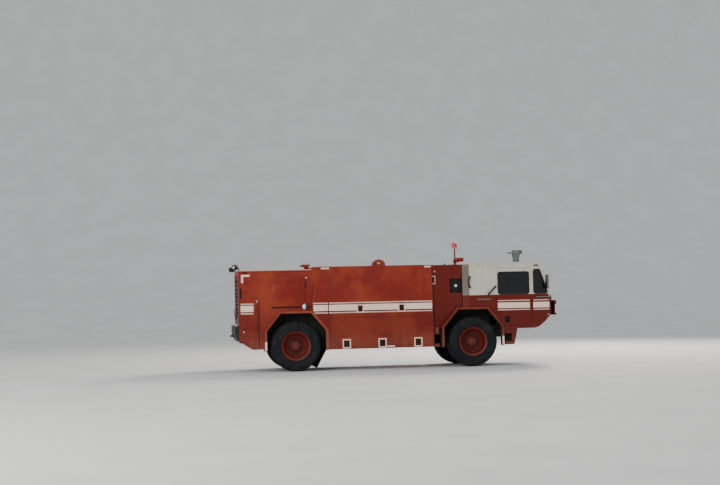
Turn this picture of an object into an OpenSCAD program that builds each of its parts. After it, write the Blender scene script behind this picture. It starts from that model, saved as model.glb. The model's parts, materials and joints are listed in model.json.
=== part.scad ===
// Airport crash tender with a rear engine, a middle water tank and a forward cab on two axles.
// +X is forward, +Y the vehicle's left side and +Z up, with the ground at 0.

/* [Layout] */
// Distance between the axles
wheelbase = 4800; // [4700:10:5000]
// Rearmost point behind the rear axle
tail_reach = 1690; // [1680:5:1760]
// Foremost point ahead of the front axle
nose_reach = 2360; // [2340:5:2420]
// Width over the tank body
body_w = 2500; // [2480:10:2560]

/* [Wheels] */
// Tyre diameter
tyre_d = 1350; // [1300:5:1360]
// Tyre section width
tyre_w = 430; // [400:5:435]
// Diameter of the rim's lip
rim_d = 780; // [740:5:800]
// Distance between the wheels' middle planes
track = 1950; // [1940:5:1960]

/* [Body heights] */
// Underside of the tank skirts
skirt_z = 560; // [540:5:600]
// Height of the wheel arches
arch_z = 1540; // [1500:5:1560]
// Line where the tank's upper sides start to lean in
crease_z = 1980; // [1950:5:2020]
// Roof of the tank body and pump bay
tank_z = 2770; // [2740:5:2800]
// Roof of the engine housing
housing_z = 2700; // [2660:5:2720]
// How far the tank's upper sides lean in
lean = 110; // [60:5:120]

/* [Cab] */
// Cab width
cab_w = 2400; // [2380:10:2420]
// Line between the red tub and the white upper cab
split_z = 1920; // [1900:5:1940]
// Underside of the cab
cab_z = 1000; // [980:5:1020]
// How far the cab's roof stands below the tank's
roof_drop = 10; // [2:1:20]
// Thickness of the cab walls and doors
wall = 50; // [40:5:60]

/* [Turret] */
// Height of the turret's elevation pivot over the cab roof's plate
turret_rise = 320; // [310:5:340]

/* [Hidden] */
$fn = 48;

paint = "firebrick";
white = "ivory";
steel = "dimgray";
black = "#202020";
glass = "#304048";

// The origin is midway between the foremost and rearmost points
overall = tail_reach + wheelbase + nose_reach;
rear_axle_x = tail_reach - overall / 2;
front_axle_x = rear_axle_x + wheelbase;
left = 1;
right = -1;

// Wheel measures
tyre_r = tyre_d / 2;
axle_z = tyre_r;
wheel_y = track / 2;
rim_r = rim_d / 2;
seat_r = rim_r - 45;
spindle_r = 45;
fit = 0.05;
kingpin_y = wheel_y - 175;
kingpin_r = 30;

// Body measures
side_y = body_w / 2;
housing_y = side_y - 80;
bay_y = side_y - 110;
cab_y = cab_w / 2;
tail_x = 190 - tail_reach;
tank_back = 450;
tank_front = wheelbase - 1100;
back_slope = 200;
slope_z = 1830;
cab_back = -255;
rail_z = 760;
rail_h = 240;
rail_y = 410;
rail_w = 90;
tunnel_y = rail_y + 30;
tunnel_z = rail_z + rail_h + 10;
bay_z = housing_z - 140;
door_sill = 1310;
bay_half = 800;
rear_well_y = 640;
front_well_y = tunnel_y;

// Wheel arches: half width behind and ahead of the axle, and of the flat top
arch_back = 770;
arch_front = 800;
arch_flat = 400;
arch_knee = 1070;
lip = 60;
lip_y = side_y;

// Cab measures, forward from the front axle
roof_z = tank_z - roof_drop;
door_back = 690;
door_front = 1656;
door_low = 1075;
door_high = roof_z - 105;
door_gap = 6;
screen_foot = 2170;
screen_head = 1875;
nose_x = 2230;
cab_floor = 1090;
shelf_z = 1600;
shelf_x = 640;
rear_corner = 180;
front_corner = 45;
roof_plate = 35;
bay_roof = roof_z - 2;
turret_x = 1555;
turret_z = roof_z + roof_plate + turret_rise;

// Where the tank's sloping back edge stands at a height
function edge_x(z) = tank_back + back_slope * (z - slope_z) / (tank_z - slope_z);

module from_rear() { translate([rear_axle_x, 0, 0]) children(); }
module from_front() { translate([front_axle_x, 0, 0]) children(); }
module both_sides() {
    children();
    mirror([0, 1, 0]) children();
}
// A plate with its outline in length and height, from y0 to y1 across
module slab(points, y0, y1) {
    translate([0, y1, 0]) rotate([90, 0, 0]) linear_extrude(y1 - y0) polygon(points);
}
// A box between two corners
module block(a, b) { translate(a) cube(b - a); }
// A round bar between two points in one plane of length and height or across
module bar(a, b, r) {
    v = b - a;
    translate(a) rotate([0, acos(v[2] / norm(v)), atan2(v[1], v[0])]) cylinder(h = norm(v), r = r, $fn = 24);
}

// The octagonal wheel arch, widened by grow
module arch(grow, y0, y1, back, front) {
    k = 0.33 * grow;
    t = 0.5 * grow;
    slab([[-back - grow, 0], [-back - grow, arch_knee + k], [-arch_flat - t, arch_z + grow],
        [arch_flat + t, arch_z + grow], [front + grow, arch_knee + k], [front + grow, 0]], y0, y1);
}
module rear_arch_cut() {
    from_rear() both_sides() arch(lip, rear_well_y, side_y + 50, arch_back, arch_front);
}
module front_arch_cut() {
    from_front() both_sides() arch(lip, front_well_y, side_y + 50, arch_front, arch_front - 10);
}

module chassis_frame() {
    rail_end = wheelbase + 1060;
    // Where the cross members stand along the frame
    members = [tail_x + 60, -250, 900, 2600, wheelbase - 900, rail_end - 80];
    // Where the body's pads stand on the rails
    pads = [tank_back + 250, 2200, tank_front - 250, tank_front + 200, wheelbase + 300, wheelbase + 900];
    color(steel) from_rear() {
        both_sides() block([tail_x + 60, rail_y - rail_w, rail_z], [rail_end, rail_y, rail_z + rail_h]);
        for (x = members) block([x, -rail_y + rail_w, rail_z + 20], [x + 70, rail_y - rail_w, rail_z + 120]);
        both_sides() for (x = pads) block([x, rail_y - rail_w, rail_z + rail_h], [x + 140, rail_y, tunnel_z]);
    }
}

module engine() {
    color(steel) from_rear() {
        block([tail_x + 170, -rail_y + rail_w + 10, 720], [-260, rail_y - rail_w - 10, 1150]);
        block([tail_x + 200, -330, 1150], [-330, 330, 1760]);
        for (x = [tail_x + 300, -480]) block([x, -rail_y + rail_w, 820], [x + 100, rail_y - rail_w, 900]);
    }
}

module drivetrain() {
    case_x = 1700;
    shaft_z = 935;
    color(steel) from_rear() {
        block([case_x, -190, 690], [case_x + 420, 190, 980]);
        translate([-260, 0, shaft_z]) rotate([0, 90, 0]) cylinder(h = case_x + 260, r = 45);
        bar([217, 0, axle_z + 8], [case_x + 10, 0, 745], 40);
        bar([case_x + 410, 0, 745], [wheelbase - 217, 0, axle_z + 8], 40);
    }
}

// A leaf spring pack over an axle, with its hangers up to the rail
module springs() {
    // Leaves from the top: half length, height of the leaf's foot
    leaves = [[640, 70], [560, 48], [440, 26], [300, 4]];
    spring_y = rail_y - rail_w / 2;
    both_sides() {
        for (leaf = leaves)
            block([-leaf[0], spring_y - 40, axle_z + leaf[1] - 20],
                [leaf[0], spring_y + 40, axle_z + leaf[1] + 1]);
        for (s = [-1, 1])
            block([s * 620 - 25, spring_y - 30, axle_z + 71], [s * 620 + 25, spring_y + 30, rail_z]);
    }
}

module axle_beam(half) {
    translate([0, half, axle_z]) rotate([90, 0, 0]) cylinder(h = 2 * half, r = 75);
    translate([-170, 0, axle_z]) rotate([0, 90, 0]) cylinder(h = 385, r = 200);
}

module rear_axle() {
    color(steel) from_rear() {
        axle_beam(wheel_y - 250);
        springs();
        both_sides() {
            translate([0, wheel_y - 20, axle_z]) rotate([90, 0, 0]) cylinder(h = 240, r = 270);
            translate([0, wheel_y + 25, axle_z]) rotate([90, 0, 0]) cylinder(h = 65, r = spindle_r);
        }
    }
}

module front_axle() {
    color(steel) from_front() {
        mirror([1, 0, 0]) axle_beam(kingpin_y - 70);
        springs();
        both_sides() difference() {
            union() {
                block([-60, kingpin_y - 150, axle_z - 165], [60, kingpin_y - 70, axle_z + 165]);
                for (z = [axle_z - 165, axle_z + 125]) {
                    block([-60, kingpin_y - 150, z], [60, kingpin_y, z + 40]);
                    translate([0, kingpin_y, z]) cylinder(h = 40, r = 60);
                }
            }
            translate([0, kingpin_y, axle_z - 200]) cylinder(h = 400, r = kingpin_r + fit);
        }
    }
}

// A steering knuckle: kingpin, hub carrier, drum and spindle
module knuckle(side) {
    color(steel) from_front() translate([0, side * kingpin_y, axle_z]) {
        translate([0, 0, -170]) cylinder(h = 340, r = kingpin_r);
        translate([0, 0, -120]) cylinder(h = 240, r = 58);
        rotate([side * -90, 0, 0]) {
            cylinder(h = 90, r = 58);
            translate([0, 0, 75]) cylinder(h = 80, r = 270);
            translate([0, 0, 155]) cylinder(h = 45, r = spindle_r);
        }
    }
}
module knuckle_left() { knuckle(left); }
module knuckle_right() { knuckle(right); }

// A wheel disc with its rim, standing at the origin with its outer face to +Z
module wheel_disc() {
    rotate_extrude($fn = 96) {
        polygon([[seat_r, -170], [seat_r, 170], [rim_r - 4, 180], [rim_r, 205], [rim_r - 16, 210],
            [seat_r - 12, 172], [seat_r - 18, -170], [rim_r - 16, -210], [rim_r, -205], [rim_r - 4, -180]]);
        polygon([[spindle_r + fit, -5], [215, -5], [seat_r - 8, 20], [seat_r - 8, 44], [225, 17], [130, 17],
            [118, 75], [60, 85], [0, 85], [0, 30], [spindle_r + fit, 30]]);
    }
}
module wheel_tyre() {
    crown = tyre_r;
    bulge = tyre_w / 2;
    rotate_extrude($fn = 96) polygon([[seat_r, -168], [rim_r - 4, -178], [rim_r + 4, -bulge + 28],
        [rim_r + 50, -bulge + 8], [crown - 150, -bulge], [crown - 75, -bulge + 8],
        [crown - 28, -bulge + 35], [crown - 7, -bulge + 90],
        [crown, 0], [crown - 7, bulge - 90], [crown - 28, bulge - 35], [crown - 75, bulge - 8],
        [crown - 150, bulge], [rim_r + 50, bulge - 8], [rim_r + 4, bulge - 28], [rim_r - 4, 178],
        [seat_r, 168]]);
}
module at_wheel(x, side) { translate([x, side * wheel_y, axle_z]) rotate([side * -90, 0, 0]) children(); }
module wheel_front_left() { color(paint) at_wheel(front_axle_x, left) wheel_disc(); }
module wheel_front_right() { color(paint) at_wheel(front_axle_x, right) wheel_disc(); }
module wheel_rear_left() { color(paint) at_wheel(rear_axle_x, left) wheel_disc(); }
module wheel_rear_right() { color(paint) at_wheel(rear_axle_x, right) wheel_disc(); }
module tyre_front_left() { color(black) at_wheel(front_axle_x, left) wheel_tyre(); }
module tyre_front_right() { color(black) at_wheel(front_axle_x, right) wheel_tyre(); }
module tyre_rear_left() { color(black) at_wheel(rear_axle_x, left) wheel_tyre(); }
module tyre_rear_right() { color(black) at_wheel(rear_axle_x, right) wheel_tyre(); }

module rear_body() {
    color(paint) difference() {
        from_rear() difference() {
            union() {
                slab([[tail_x, 850], [tail_x + 350, 605], [tank_back, 605], [tank_back, slope_z],
                    [edge_x(housing_z), housing_z], [tail_x, housing_z]], -housing_y, housing_y);
                both_sides() slab(fender_skin, housing_y - 5, housing_y + skin_proud);
            }
            block([tail_x + 60, -bay_half, 0], [-arch_back - lip, bay_half, bay_z]);
            block([-arch_back - lip - 10, -rear_well_y + 20, 0], [tank_back - 150, rear_well_y - 20, bay_z]);
            block([-arch_back - lip - 10, -rear_well_y - 10, 0],
                [tank_back - 150, rear_well_y + 10, tunnel_z]);
            block([tank_back - 160, -tunnel_y, 0], [tank_back + 10, tunnel_y, tunnel_z]);
            block([tail_x - 10, -bay_half, door_sill], [tail_x + 70, bay_half, bay_z]);
        }
        rear_arch_cut();
    }
    color(paint) lid_hinges() hinge_fixed();
}

// Second skin behind the rear arch, from its top round to its foot
fender_skin = [[-445, arch_z + 85], [-633, arch_z + 85], [-635, arch_z - 26], [-702, arch_z - 183],
    [-arch_back - 136, arch_knee + 134], [-arch_back - 80, arch_knee + 15], [-arch_back, arch_knee],
    [-arch_flat - 20, arch_z + 20]];
skin_proud = 22;

// Places of the hinges along the engine door's top edge
module lid_hinges() {
    from_rear() for (y = [-560, 0, 560])
        translate([tail_x - hinge_off, y, bay_z - 2]) rotate([90, -90, 0]) children();
}

// The louvred door over the engine at the back, hung along its top edge
module engine_door() {
    half = bay_half - 8;
    low = door_sill + 10;
    high = bay_z - 8;
    rim = 70;
    pitch = 105;
    count = floor((high - low - 2 * rim) / pitch);
    color(steel) from_rear() {
        difference() {
            block([tail_x, -half, low], [tail_x + 45, half, high]);
            block([tail_x - 5, -half + rim, low + rim], [tail_x + 50, half - rim, high - rim]);
        }
        for (i = [0:count - 1])
            translate([tail_x + 22, 0, low + rim + pitch * (i + 0.5)])
                rotate([0, 35, 0]) cube([12, 2 * (half - rim) + 4, pitch * 0.8], center = true);
        block([tail_x + 4, -20, low + rim - 2], [tail_x + 41, 20, high - rim + 2]);
    }
    color(steel) lid_hinges() hinge_moving();
}

module tank_body() {
    tank_h = [skirt_z, crease_z, tank_z];
    color(paint) difference() {
        from_rear() difference() {
            // Cross section: half widths and heights from the skirt to the roof
            translate([tank_back, 0, 0]) rotate([90, 0, 90]) linear_extrude(tank_front - tank_back)
                polygon([[-side_y + 30, tank_h[0]], [-side_y, tank_h[0] + 100], [-side_y, tank_h[1]],
                    [-side_y + lean, tank_h[2]], [side_y - lean, tank_h[2]], [side_y, tank_h[1]],
                    [side_y, tank_h[0] + 100], [side_y - 30, tank_h[0]]]);
            // The back edge slopes forward towards the roof
            slab([[tank_back - 10, slope_z], [tank_back, slope_z], [edge_x(tank_z + 20), tank_z + 20],
                [tank_back - 10, tank_z + 20]], -side_y - 10, side_y + 10);
            block([tank_back - 10, -tunnel_y, 0], [tank_front + 10, tunnel_y, tunnel_z]);
        }
        rear_arch_cut();
    }
}

module pump_bay() {
    recess_x = -595;
    recess_w = 319;
    outlet = [recess_x + 168, bay_y - 95, 2190];
    color(paint) difference() {
        from_rear() difference() {
            block([tank_front, -bay_y, skirt_z], [wheelbase + cab_back, bay_y, bay_roof]);
            block([tank_front - 10, -tunnel_y, 0], [wheelbase + 10, tunnel_y, tunnel_z]);
            both_sides() block([tank_front + 60, bay_y - 120, skirt_z + 90],
                [tank_front + 200, bay_y + 10, skirt_z + 320]);
        }
        from_front() both_sides() block([recess_x, bay_y - 90, 2002],
            [recess_x + recess_w, bay_y + 10, 2376]);
        front_arch_cut();
    }
    // Capped outlet inside each recess
    color(steel) from_front() both_sides() translate(outlet) rotate([-90, 0, 0]) {
        cylinder(h = 20, r = 70);
        cylinder(h = 65, r = 45);
        cylinder(h = 80, r = 32);
    }
}

// The folded lip round each arch, proud of the sides
module arch_lip(back, front, y_in) {
    both_sides() difference() {
        arch(lip, y_in, lip_y, back, front);
        arch(0, y_in - 10, lip_y + 10, back, front);
        block([-2000, 0, -10], [2000, lip_y + 20, skirt_z - 10]);
    }
}
module rear_arches() { color(paint) from_rear() arch_lip(arch_back, arch_front, rear_well_y); }
module front_arches() { color(paint) from_front() arch_lip(arch_front, arch_front - 10, bay_y - 90); }

// The cab seen from the side, drawn in by t
function cab_side(t) = [
    [cab_back + t, cab_z + t],
    [cab_back + t, roof_z - t],
    [screen_head - 1.06 * t + 0.35 * t, roof_z - t],
    [screen_foot - 1.06 * t, split_z],
    [nose_x - 8 - t, 1850],
    [nose_x - t, 1800],
    [nose_x - 8 - t, 1460],
    [2190 - t, 1372 + 0.3 * t],
    [2054 - 0.7 * t, 1214 + 0.7 * t],
    [1921 - 0.5 * t, 1097 + 0.8 * t],
    [1846 - 0.2 * t, 1038 + t],
    [1720, cab_z + t]];
// The cab seen from above, drawn in by t
module cab_plan(t, z0, z1) {
    y = cab_y - t;
    translate([0, 0, z0]) linear_extrude(z1 - z0) polygon([
        [cab_back + t, -bay_y + t], [cab_back + rear_corner, -y], [nose_x - front_corner - 0.4 * t, -y],
        [nose_x - t, -y + 2 * front_corner], [nose_x - t, y - 2 * front_corner],
        [nose_x - front_corner - 0.4 * t, y], [cab_back + rear_corner, y], [cab_back + t, bay_y - t]]);
}
module cab_solid(t, z0, z1) {
    intersection() {
        slab(cab_side(t), -cab_y, cab_y);
        cab_plan(t, z0, z1);
    }
}
door_outline = [[door_back, door_high], [door_front, door_high], [door_front, door_low],
    [door_back + 190, door_low], [door_back, door_low + 260]];
module door_hole(side) {
    y = [side * (cab_y + 60), side * (cab_y - 120)];
    slab(door_outline, min(y), max(y));
}

module cab_lower() {
    color(paint) difference() {
        from_front() {
            difference() {
                cab_solid(0, cab_z, split_z);
                // Foot well in front, raised shelf over the axle behind
                intersection() {
                    cab_solid(wall, cab_z, split_z + 10);
                    union() {
                        block([shelf_x, -cab_y, cab_floor], [2400, cab_y, split_z + 10]);
                        block([cab_back, -cab_y, shelf_z + 40], [2400, cab_y, split_z + 10]);
                    }
                }
                door_hole(left);
                door_hole(right);
                block([cab_back - 10, -tunnel_y, cab_z - 10], [2100, tunnel_y, tunnel_z]);
            }
        }
        front_arch_cut();
    }
    color(paint) from_front() both_sides() door_hinges(low_hinges) hinge_fixed();
}

window = [720, 1585, 1933, roof_z - 229];
module window_outline(shrink) {
    r = 60;
    x = [window[0] + shrink, window[1] - shrink];
    z = [window[2] + shrink, window[3] - shrink];
    for (p = [[x[0] + r, z[0] + r], [x[1] - r, z[0] + r], [x[1] - r, z[1] - r], [x[0] + r, z[1] - r]])
        translate(p) circle(r, $fn = 32);
    translate([x[0] + r, z[0]]) square([x[1] - x[0] - 2 * r, z[1] - z[0]]);
    translate([x[0], z[0] + r]) square([x[1] - x[0], z[1] - z[0] - 2 * r]);
}
quarter_corners = [[1710, 1935], [2115, 1935], [1888, roof_z - 165], [1710, roof_z - 165]];
quarter_radii = [60, 60, 60, 70];
quarter_outline = rounded(quarter_corners, quarter_radii);

// An outline with each corner turned into an arc of its own radius, in steps
function rounded(p, r, steps = 5) = [for (i = [0:len(p) - 1]) let (
    a = p[(i + len(p) - 1) % len(p)], b = p[i], c = p[(i + 1) % len(p)],
    u = (a - b) / norm(a - b), v = (c - b) / norm(c - b), half = acos(u * v) / 2,
    m = b + (u + v) / norm(u + v) * r[i] / sin(half),
    s = b + u * r[i] / tan(half) - m, e = b + v * r[i] / tan(half) - m,
    turn = atan2(s.x * e.y - s.y * e.x, s * e), from = atan2(s.y, s.x))
    for (k = [0:steps]) m + r[i] * [cos(from + turn * k / steps), sin(from + turn * k / steps)]];

module cab_upper() {
    color(white) from_front() {
        difference() {
            cab_solid(0, split_z, roof_z);
            cab_solid(wall, split_z - 10, roof_z);
            door_hole(left);
            door_hole(right);
            both_sides() slab(quarter_outline, cab_y - 160, cab_y + 20);
            both_sides() screen_pane(-60, 200, 0);
        }
        both_sides() door_hinges(high_hinges) hinge_fixed();
        block([cab_back - 120, -cab_y + 40, roof_z], [screen_head + 95, cab_y - 40, roof_z + roof_plate]);
    }
}

// One half of the windscreen, from out to in through the sloping front
module screen_pane(out, in, trim) {
    slope = atan((screen_foot - screen_head) / (roof_z - split_z));
    length = norm([screen_foot - screen_head, roof_z - split_z]);
    translate([screen_foot, 0, split_z]) rotate([0, -slope, 0])
        block([-in, 35 + trim, 60 + trim], [-out, cab_y - 260 - trim, length - 110 - trim]);
}

module cab_glass() {
    color(glass) from_front() {
        both_sides() screen_pane(20, 28, 1);
        both_sides() slab(quarter_outline, cab_y - 32, cab_y - 24);
    }
}

// Door hinges: heights on the red tub and on the white upper cab
low_hinges = [1330, 1780];
high_hinges = [roof_z - 380];
hinge_x = door_front - door_gap / 2;
hinge_off = 14;
pin_r = 6;
knuckle_r = 13;
leaf_sunk = 2;
leaf_t = 8;

// A hinge standing on a wall at -hinge_off along Y: the fixed half with its pin, and the half that turns
module hinge_fixed() {
    cylinder(h = 100, r = pin_r, center = true);
    for (s = [-1, 1]) translate([0, 0, s * 41]) {
        cylinder(h = 20, r = knuckle_r, center = true);
        translate([4, -hinge_off - leaf_sunk, -10]) cube([40, leaf_t, 20]);
    }
}
module hinge_moving() {
    difference() {
        union() {
            cylinder(h = 60, r = knuckle_r, center = true);
            translate([-44, -hinge_off - leaf_sunk, -30]) cube([40, leaf_t, 60]);
        }
        cylinder(h = 70, r = pin_r + fit, center = true);
    }
}
module door_hinges(heights) {
    for (z = heights) translate([hinge_x, cab_y + hinge_off, z]) children();
}
module door(side) {
    y = [side * cab_y, side * (cab_y - wall)];
    color(paint) from_front() difference() {
        slab([[door_back + door_gap, door_high - door_gap], [door_front - door_gap, door_high - door_gap],
            [door_front - door_gap, door_low + door_gap], [door_back + 193, door_low + door_gap],
            [door_back + door_gap, door_low + 262]], min(y), max(y));
        translate([0, cab_y + 10, 0]) rotate([90, 0, 0]) linear_extrude(cab_w + 20) window_outline(0);
    }
    color(paint) from_front() mirror([0, side < 0 ? 1 : 0, 0])
        door_hinges(concat(low_hinges, high_hinges)) hinge_moving();
}
module door_left() { door(left); }
module door_right() { door(right); }
module door_glass(side) {
    color(glass) from_front() translate([0, side * (cab_y - 25) + 4, 0]) rotate([90, 0, 0])
        linear_extrude(8) window_outline(0);
}
module door_glass_left() { door_glass(left); }
module door_glass_right() { door_glass(right); }

// The steering wheel's hub, and its column's lean back from upright
hub_place = [1480, 560, 1770];
column_lean = 35;
module dashboard() {
    color(black) from_front() {
        slab([[1800, 1490], [1900, 1860], [1740, 1880], [1660, 1800], [1700, 1490]],
            -cab_y + 120, cab_y - 120);
        both_sides() block([1690, cab_y - 400, cab_floor], [1745, cab_y - 340, 1500]);
        slab([[1635, 1520], [1635, 1590], [1720, 1700], [1720, 1500]],
            hub_place[1] - 55, hub_place[1] + 55);
        translate(hub_place) rotate([0, -column_lean, 0]) translate([0, 0, -300]) cylinder(h = 279.7, r = 24);
    }
}
module steering_wheel() {
    color(black) from_front() translate(hub_place) rotate([0, -column_lean, 0]) {
        rotate_extrude() translate([225, 0]) circle(14, $fn = 20);
        cylinder(h = 40, r = 45, center = true);
        for (a = [0, 120, 240]) rotate([0, 0, a]) translate([0, -15, -8]) cube([220, 30, 16]);
    }
}
module seats() {
    // Seats: how far across
    color(black) from_front() for (y = [-560, 560]) {
        block([830, y - 130, cab_floor], [1180, y + 130, cab_floor + 260]);
        block([790, y - 250, cab_floor + 260.3], [1290, y + 250, cab_floor + 400]);
        translate([0, y, 0]) slab([[790, cab_floor + 400.3], [900, cab_floor + 400.3],
            [830, cab_floor + 1010], [740, cab_floor + 1010], [700, cab_floor + 520],
            [700, cab_floor + 400.3]], -240, 240);
    }
}

module front_bumper() {
    bumper_low = 1340;
    // Where the bumper's ends start, clear of the cab's corners
    end_x = nose_x + 32;
    color(paint) from_front() difference() {
        translate([0, 0, bumper_low]) linear_extrude(400) polygon([[2180, -cab_y + 5], [2300, -cab_y + 5],
            [nose_reach, -cab_y + 65], [nose_reach, cab_y - 65], [2300, cab_y - 5], [2180, cab_y - 5]]);
        cab_solid(0, cab_z, split_z);
        both_sides() {
            block([2170, cab_y - 180, bumper_low - 10], [end_x, cab_y, bumper_low + 410]);
            for (y = [cab_y - 330, cab_y - 560])
                translate([nose_reach - 60, y, bumper_low + 200]) rotate([0, 90, 0]) cylinder(h = 80, r = 95);
        }
    }
}
module headlamps() {
    color(white) from_front() both_sides() for (y = [cab_y - 330, cab_y - 560])
        translate([nose_reach - 60, y, 1540]) rotate([0, 90, 0]) cylinder(h = 45, r = 94.7);
}

// Tow pin's eye behind the middle of the rear bumper
module rear_bumper() {
    eye_z = 960;
    eye_r = 25;
    eye_x = 60 - tail_reach;
    // The bumper seen from the side, its lower back corner cut away
    section = [[tail_x, 855], [tail_x - 25, 830], [tail_x - 45, 830], [tail_x - 110, 1020],
        [tail_x - 110, 1235], [tail_x, 1235]];
    color(black) from_rear() {
        both_sides() slab(section, 160, 1130);
        block([tail_x - 80, -170, 880], [tail_x, 170, 1200]);
        difference() {
            translate([eye_x, 0, eye_z - 30]) cylinder(h = 60, r = 60);
            translate([eye_x, 0, eye_z - 40]) cylinder(h = 80, r = eye_r);
        }
    }
}
module tail_lamps() {
    color("darkred") from_rear() both_sides() for (y = [880, 1020])
        translate([tail_x - 25, y, 1420]) rotate([0, 90, 0]) cylinder(h = 25, r = 55);
}

module cab_steps() {
    back = arch_front + lip - 8;
    // The sloping front plate's outer line, and the boot hole in the side plate
    head_x = 1236;
    foot_x = 1143;
    hole = [1075, 867];
    plate_t = 12;
    color(paint) from_front() both_sides() {
        block([back, cab_y - 200, 590], [back + 10, cab_y - 10, cab_z]);
        slab([[foot_x - plate_t, 590], [foot_x, 590], [head_x, cab_z], [head_x - plate_t, cab_z]],
            cab_y - 200, cab_y - 10);
        slab([[back, 590], [back + 10, 590], [back + 10, hole[1]], [hole[0], hole[1]],
            [hole[0] - 10, 590], [foot_x, 590], [head_x, cab_z], [back, cab_z]], cab_y - 14, cab_y - 4);
        slab([[back, 590], [foot_x, 590], [head_x, cab_z], [back, cab_z]],
            cab_y - 198 - plate_t, cab_y - 198);
        block([back, cab_y - 200, 570], [foot_x, cab_y - 10, 600]);
    }
}

module mirrors() {
    // The tube's bends: out at the top, down the front and back along the tub below the side window
    y_out = cab_y + 130;
    top = [1880, cab_y + 14, roof_z - 120];
    arm_y = cab_y + 20;
    arm_z = 1838;
    arm = [1790, 2137];
    tube_r = 14;
    color(black) from_front() both_sides() {
        block([top[0] - 30, cab_y, top[2] - 25], [top[0] + 30, cab_y + 8, top[2] + 25]);
        bar(top, [2080, y_out, top[2]], tube_r);
        bar([2080, y_out, top[2] + tube_r], [2110, y_out, 2040], tube_r);
        bar([2110, y_out, 2050], [arm[1], arm_y, arm_z], tube_r);
        bar([arm[1] + 5, arm_y, arm_z], [arm[0] - 12, arm_y, arm_z], tube_r - 3);
        for (x = arm) block([x - 12, cab_y, arm_z - 10], [x + 12, arm_y, arm_z + 10]);
        block([2040, y_out - 110, 2060], [2082, y_out + 90, 2440]);
    }
}

module grab_rails() {
    // Foot and length of the handles at the tank's front corners, and how far they stand out
    handle_z = tank_z - 520;
    handle_h = 200;
    handle_x = tank_front + 90;
    handle_y = side_y - 70;
    // Upright rails on the engine housing
    post_x = -1020;
    post_y = housing_y + 60;
    color(steel) from_rear() both_sides() {
        bar([post_x, post_y, 640], [post_x, post_y, 1900], 16);
        for (z = [680, 1270, 1860]) bar([post_x, housing_y, z], [post_x, post_y, z], 12);
        for (z = [handle_z, handle_z + handle_h]) bar([tank_front, handle_y, z], [handle_x, handle_y, z], 12);
        bar([handle_x, handle_y, handle_z - 12], [handle_x, handle_y, handle_z + handle_h + 12], 12);
    }
}

module roof_drum() {
    x = 2300;
    color(paint) from_rear() translate([x, -700, tank_z]) intersection() {
        rotate([90, 0, 0]) cylinder(h = 300, r = 175);
        block([-200, -310, 0], [200, 10, 200]);
    }
}

module roof_fittings() {
    // A vent with its cap and a ramp up to the tank, and the siren on its foot over the cab's back
    vent_x = tank_back - 174;
    ramp_x = vent_x + 121;
    tank_edge = edge_x(housing_z) - 2;
    siren_z = roof_z + roof_plate + 110;
    siren_y = -730;
    color(paint) {
        from_rear() {
            block([vent_x, -1000, housing_z], [ramp_x, -860, housing_z + 85]);
            slab([[vent_x - 116, housing_z + 80], [vent_x - 60, housing_z + 140],
                [vent_x + 160, housing_z + 138], [vent_x + 124, housing_z + 70]], -1060, -790);
            slab([[ramp_x - 5, housing_z], [ramp_x + 20, housing_z + 36], [ramp_x + 100, tank_z - 2],
                [tank_edge, tank_z - 2], [tank_edge, housing_z]], -1100, -700);
        }
        from_front() {
            translate([-368, siren_y, siren_z]) rotate([0, 90, 0]) cylinder(h = 248, r = 55);
            block([-330, siren_y - 30, roof_z + roof_plate], [-250, siren_y + 30, siren_z - 30]);
        }
    }
}
module beacon() {
    color("red") from_front() translate([-400, -930, bay_roof]) {
        cylinder(h = 440, r = 20);
        translate([0, 0, 45]) cylinder(h = 110, r = 45);
        translate([0, 0, 425]) cylinder(h = 190, r = 78);
    }
}
// Each floodlight looks back and outward
module floodlights() {
    half = 50;
    color(black) from_rear() both_sides() translate([tail_x + 20, 1075, housing_z]) {
        cylinder(h = 66, r = 16);
        bar([0, 0, 58], [-70, 30, 88], 13);
        translate([-100, 35, 90]) rotate([0, 90, 135]) translate([0, 0, -half])
            cylinder(h = 2 * half, r = 66);
    }
}

module turret_base() {
    color(white) from_front() translate([turret_x, 0, roof_z + roof_plate]) {
        cylinder(h = 30, r = 160);
        cylinder(h = 110, r = 95);
        cylinder(h = 170, r = 40 - fit);
    }
}
module turret_head() {
    // Cheek plates beside the barrel, with upright ribs
    inner = 62;
    outer = 88;
    cheek = 95;
    drum_z = turret_z - 110;
    ribs = [-88, -45, 36, 79];
    color(white) from_front() translate([turret_x, 0, 0]) difference() {
        union() {
            translate([0, 0, roof_z + roof_plate + 112]) cylinder(h = turret_rise - 222, r = 86);
            both_sides() {
                block([-cheek, inner, drum_z - 40], [cheek, outer, turret_z + 50]);
                for (x = ribs) block([x, outer - 1, drum_z - 40], [x + 10, outer + 10, turret_z + 50]);
            }
            block([-cheek, -outer, drum_z - 40], [cheek, outer, drum_z - 18]);
        }
        translate([0, 0, roof_z]) cylinder(h = roof_plate + 172, r = 40);
        translate([0, 120, turret_z]) rotate([90, 0, 0]) cylinder(h = 240, r = 22 + fit);
    }
}
module turret_nozzle() {
    handle_y = -128;
    color(white) from_front() translate([turret_x, 0, turret_z]) {
        translate([0, 95, 0]) rotate([90, 0, 0]) cylinder(h = 95 - handle_y + 8, r = 22);
        translate([-60, 0, 0]) rotate([0, 90, 0]) cylinder(h = 230, r = 50);
        translate([110, 0, 0]) rotate([0, 90, 0]) cylinder(h = 70, r = 58);
        bar([20, handle_y, 0], [-270, handle_y, -35], 13);
    }
}

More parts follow.
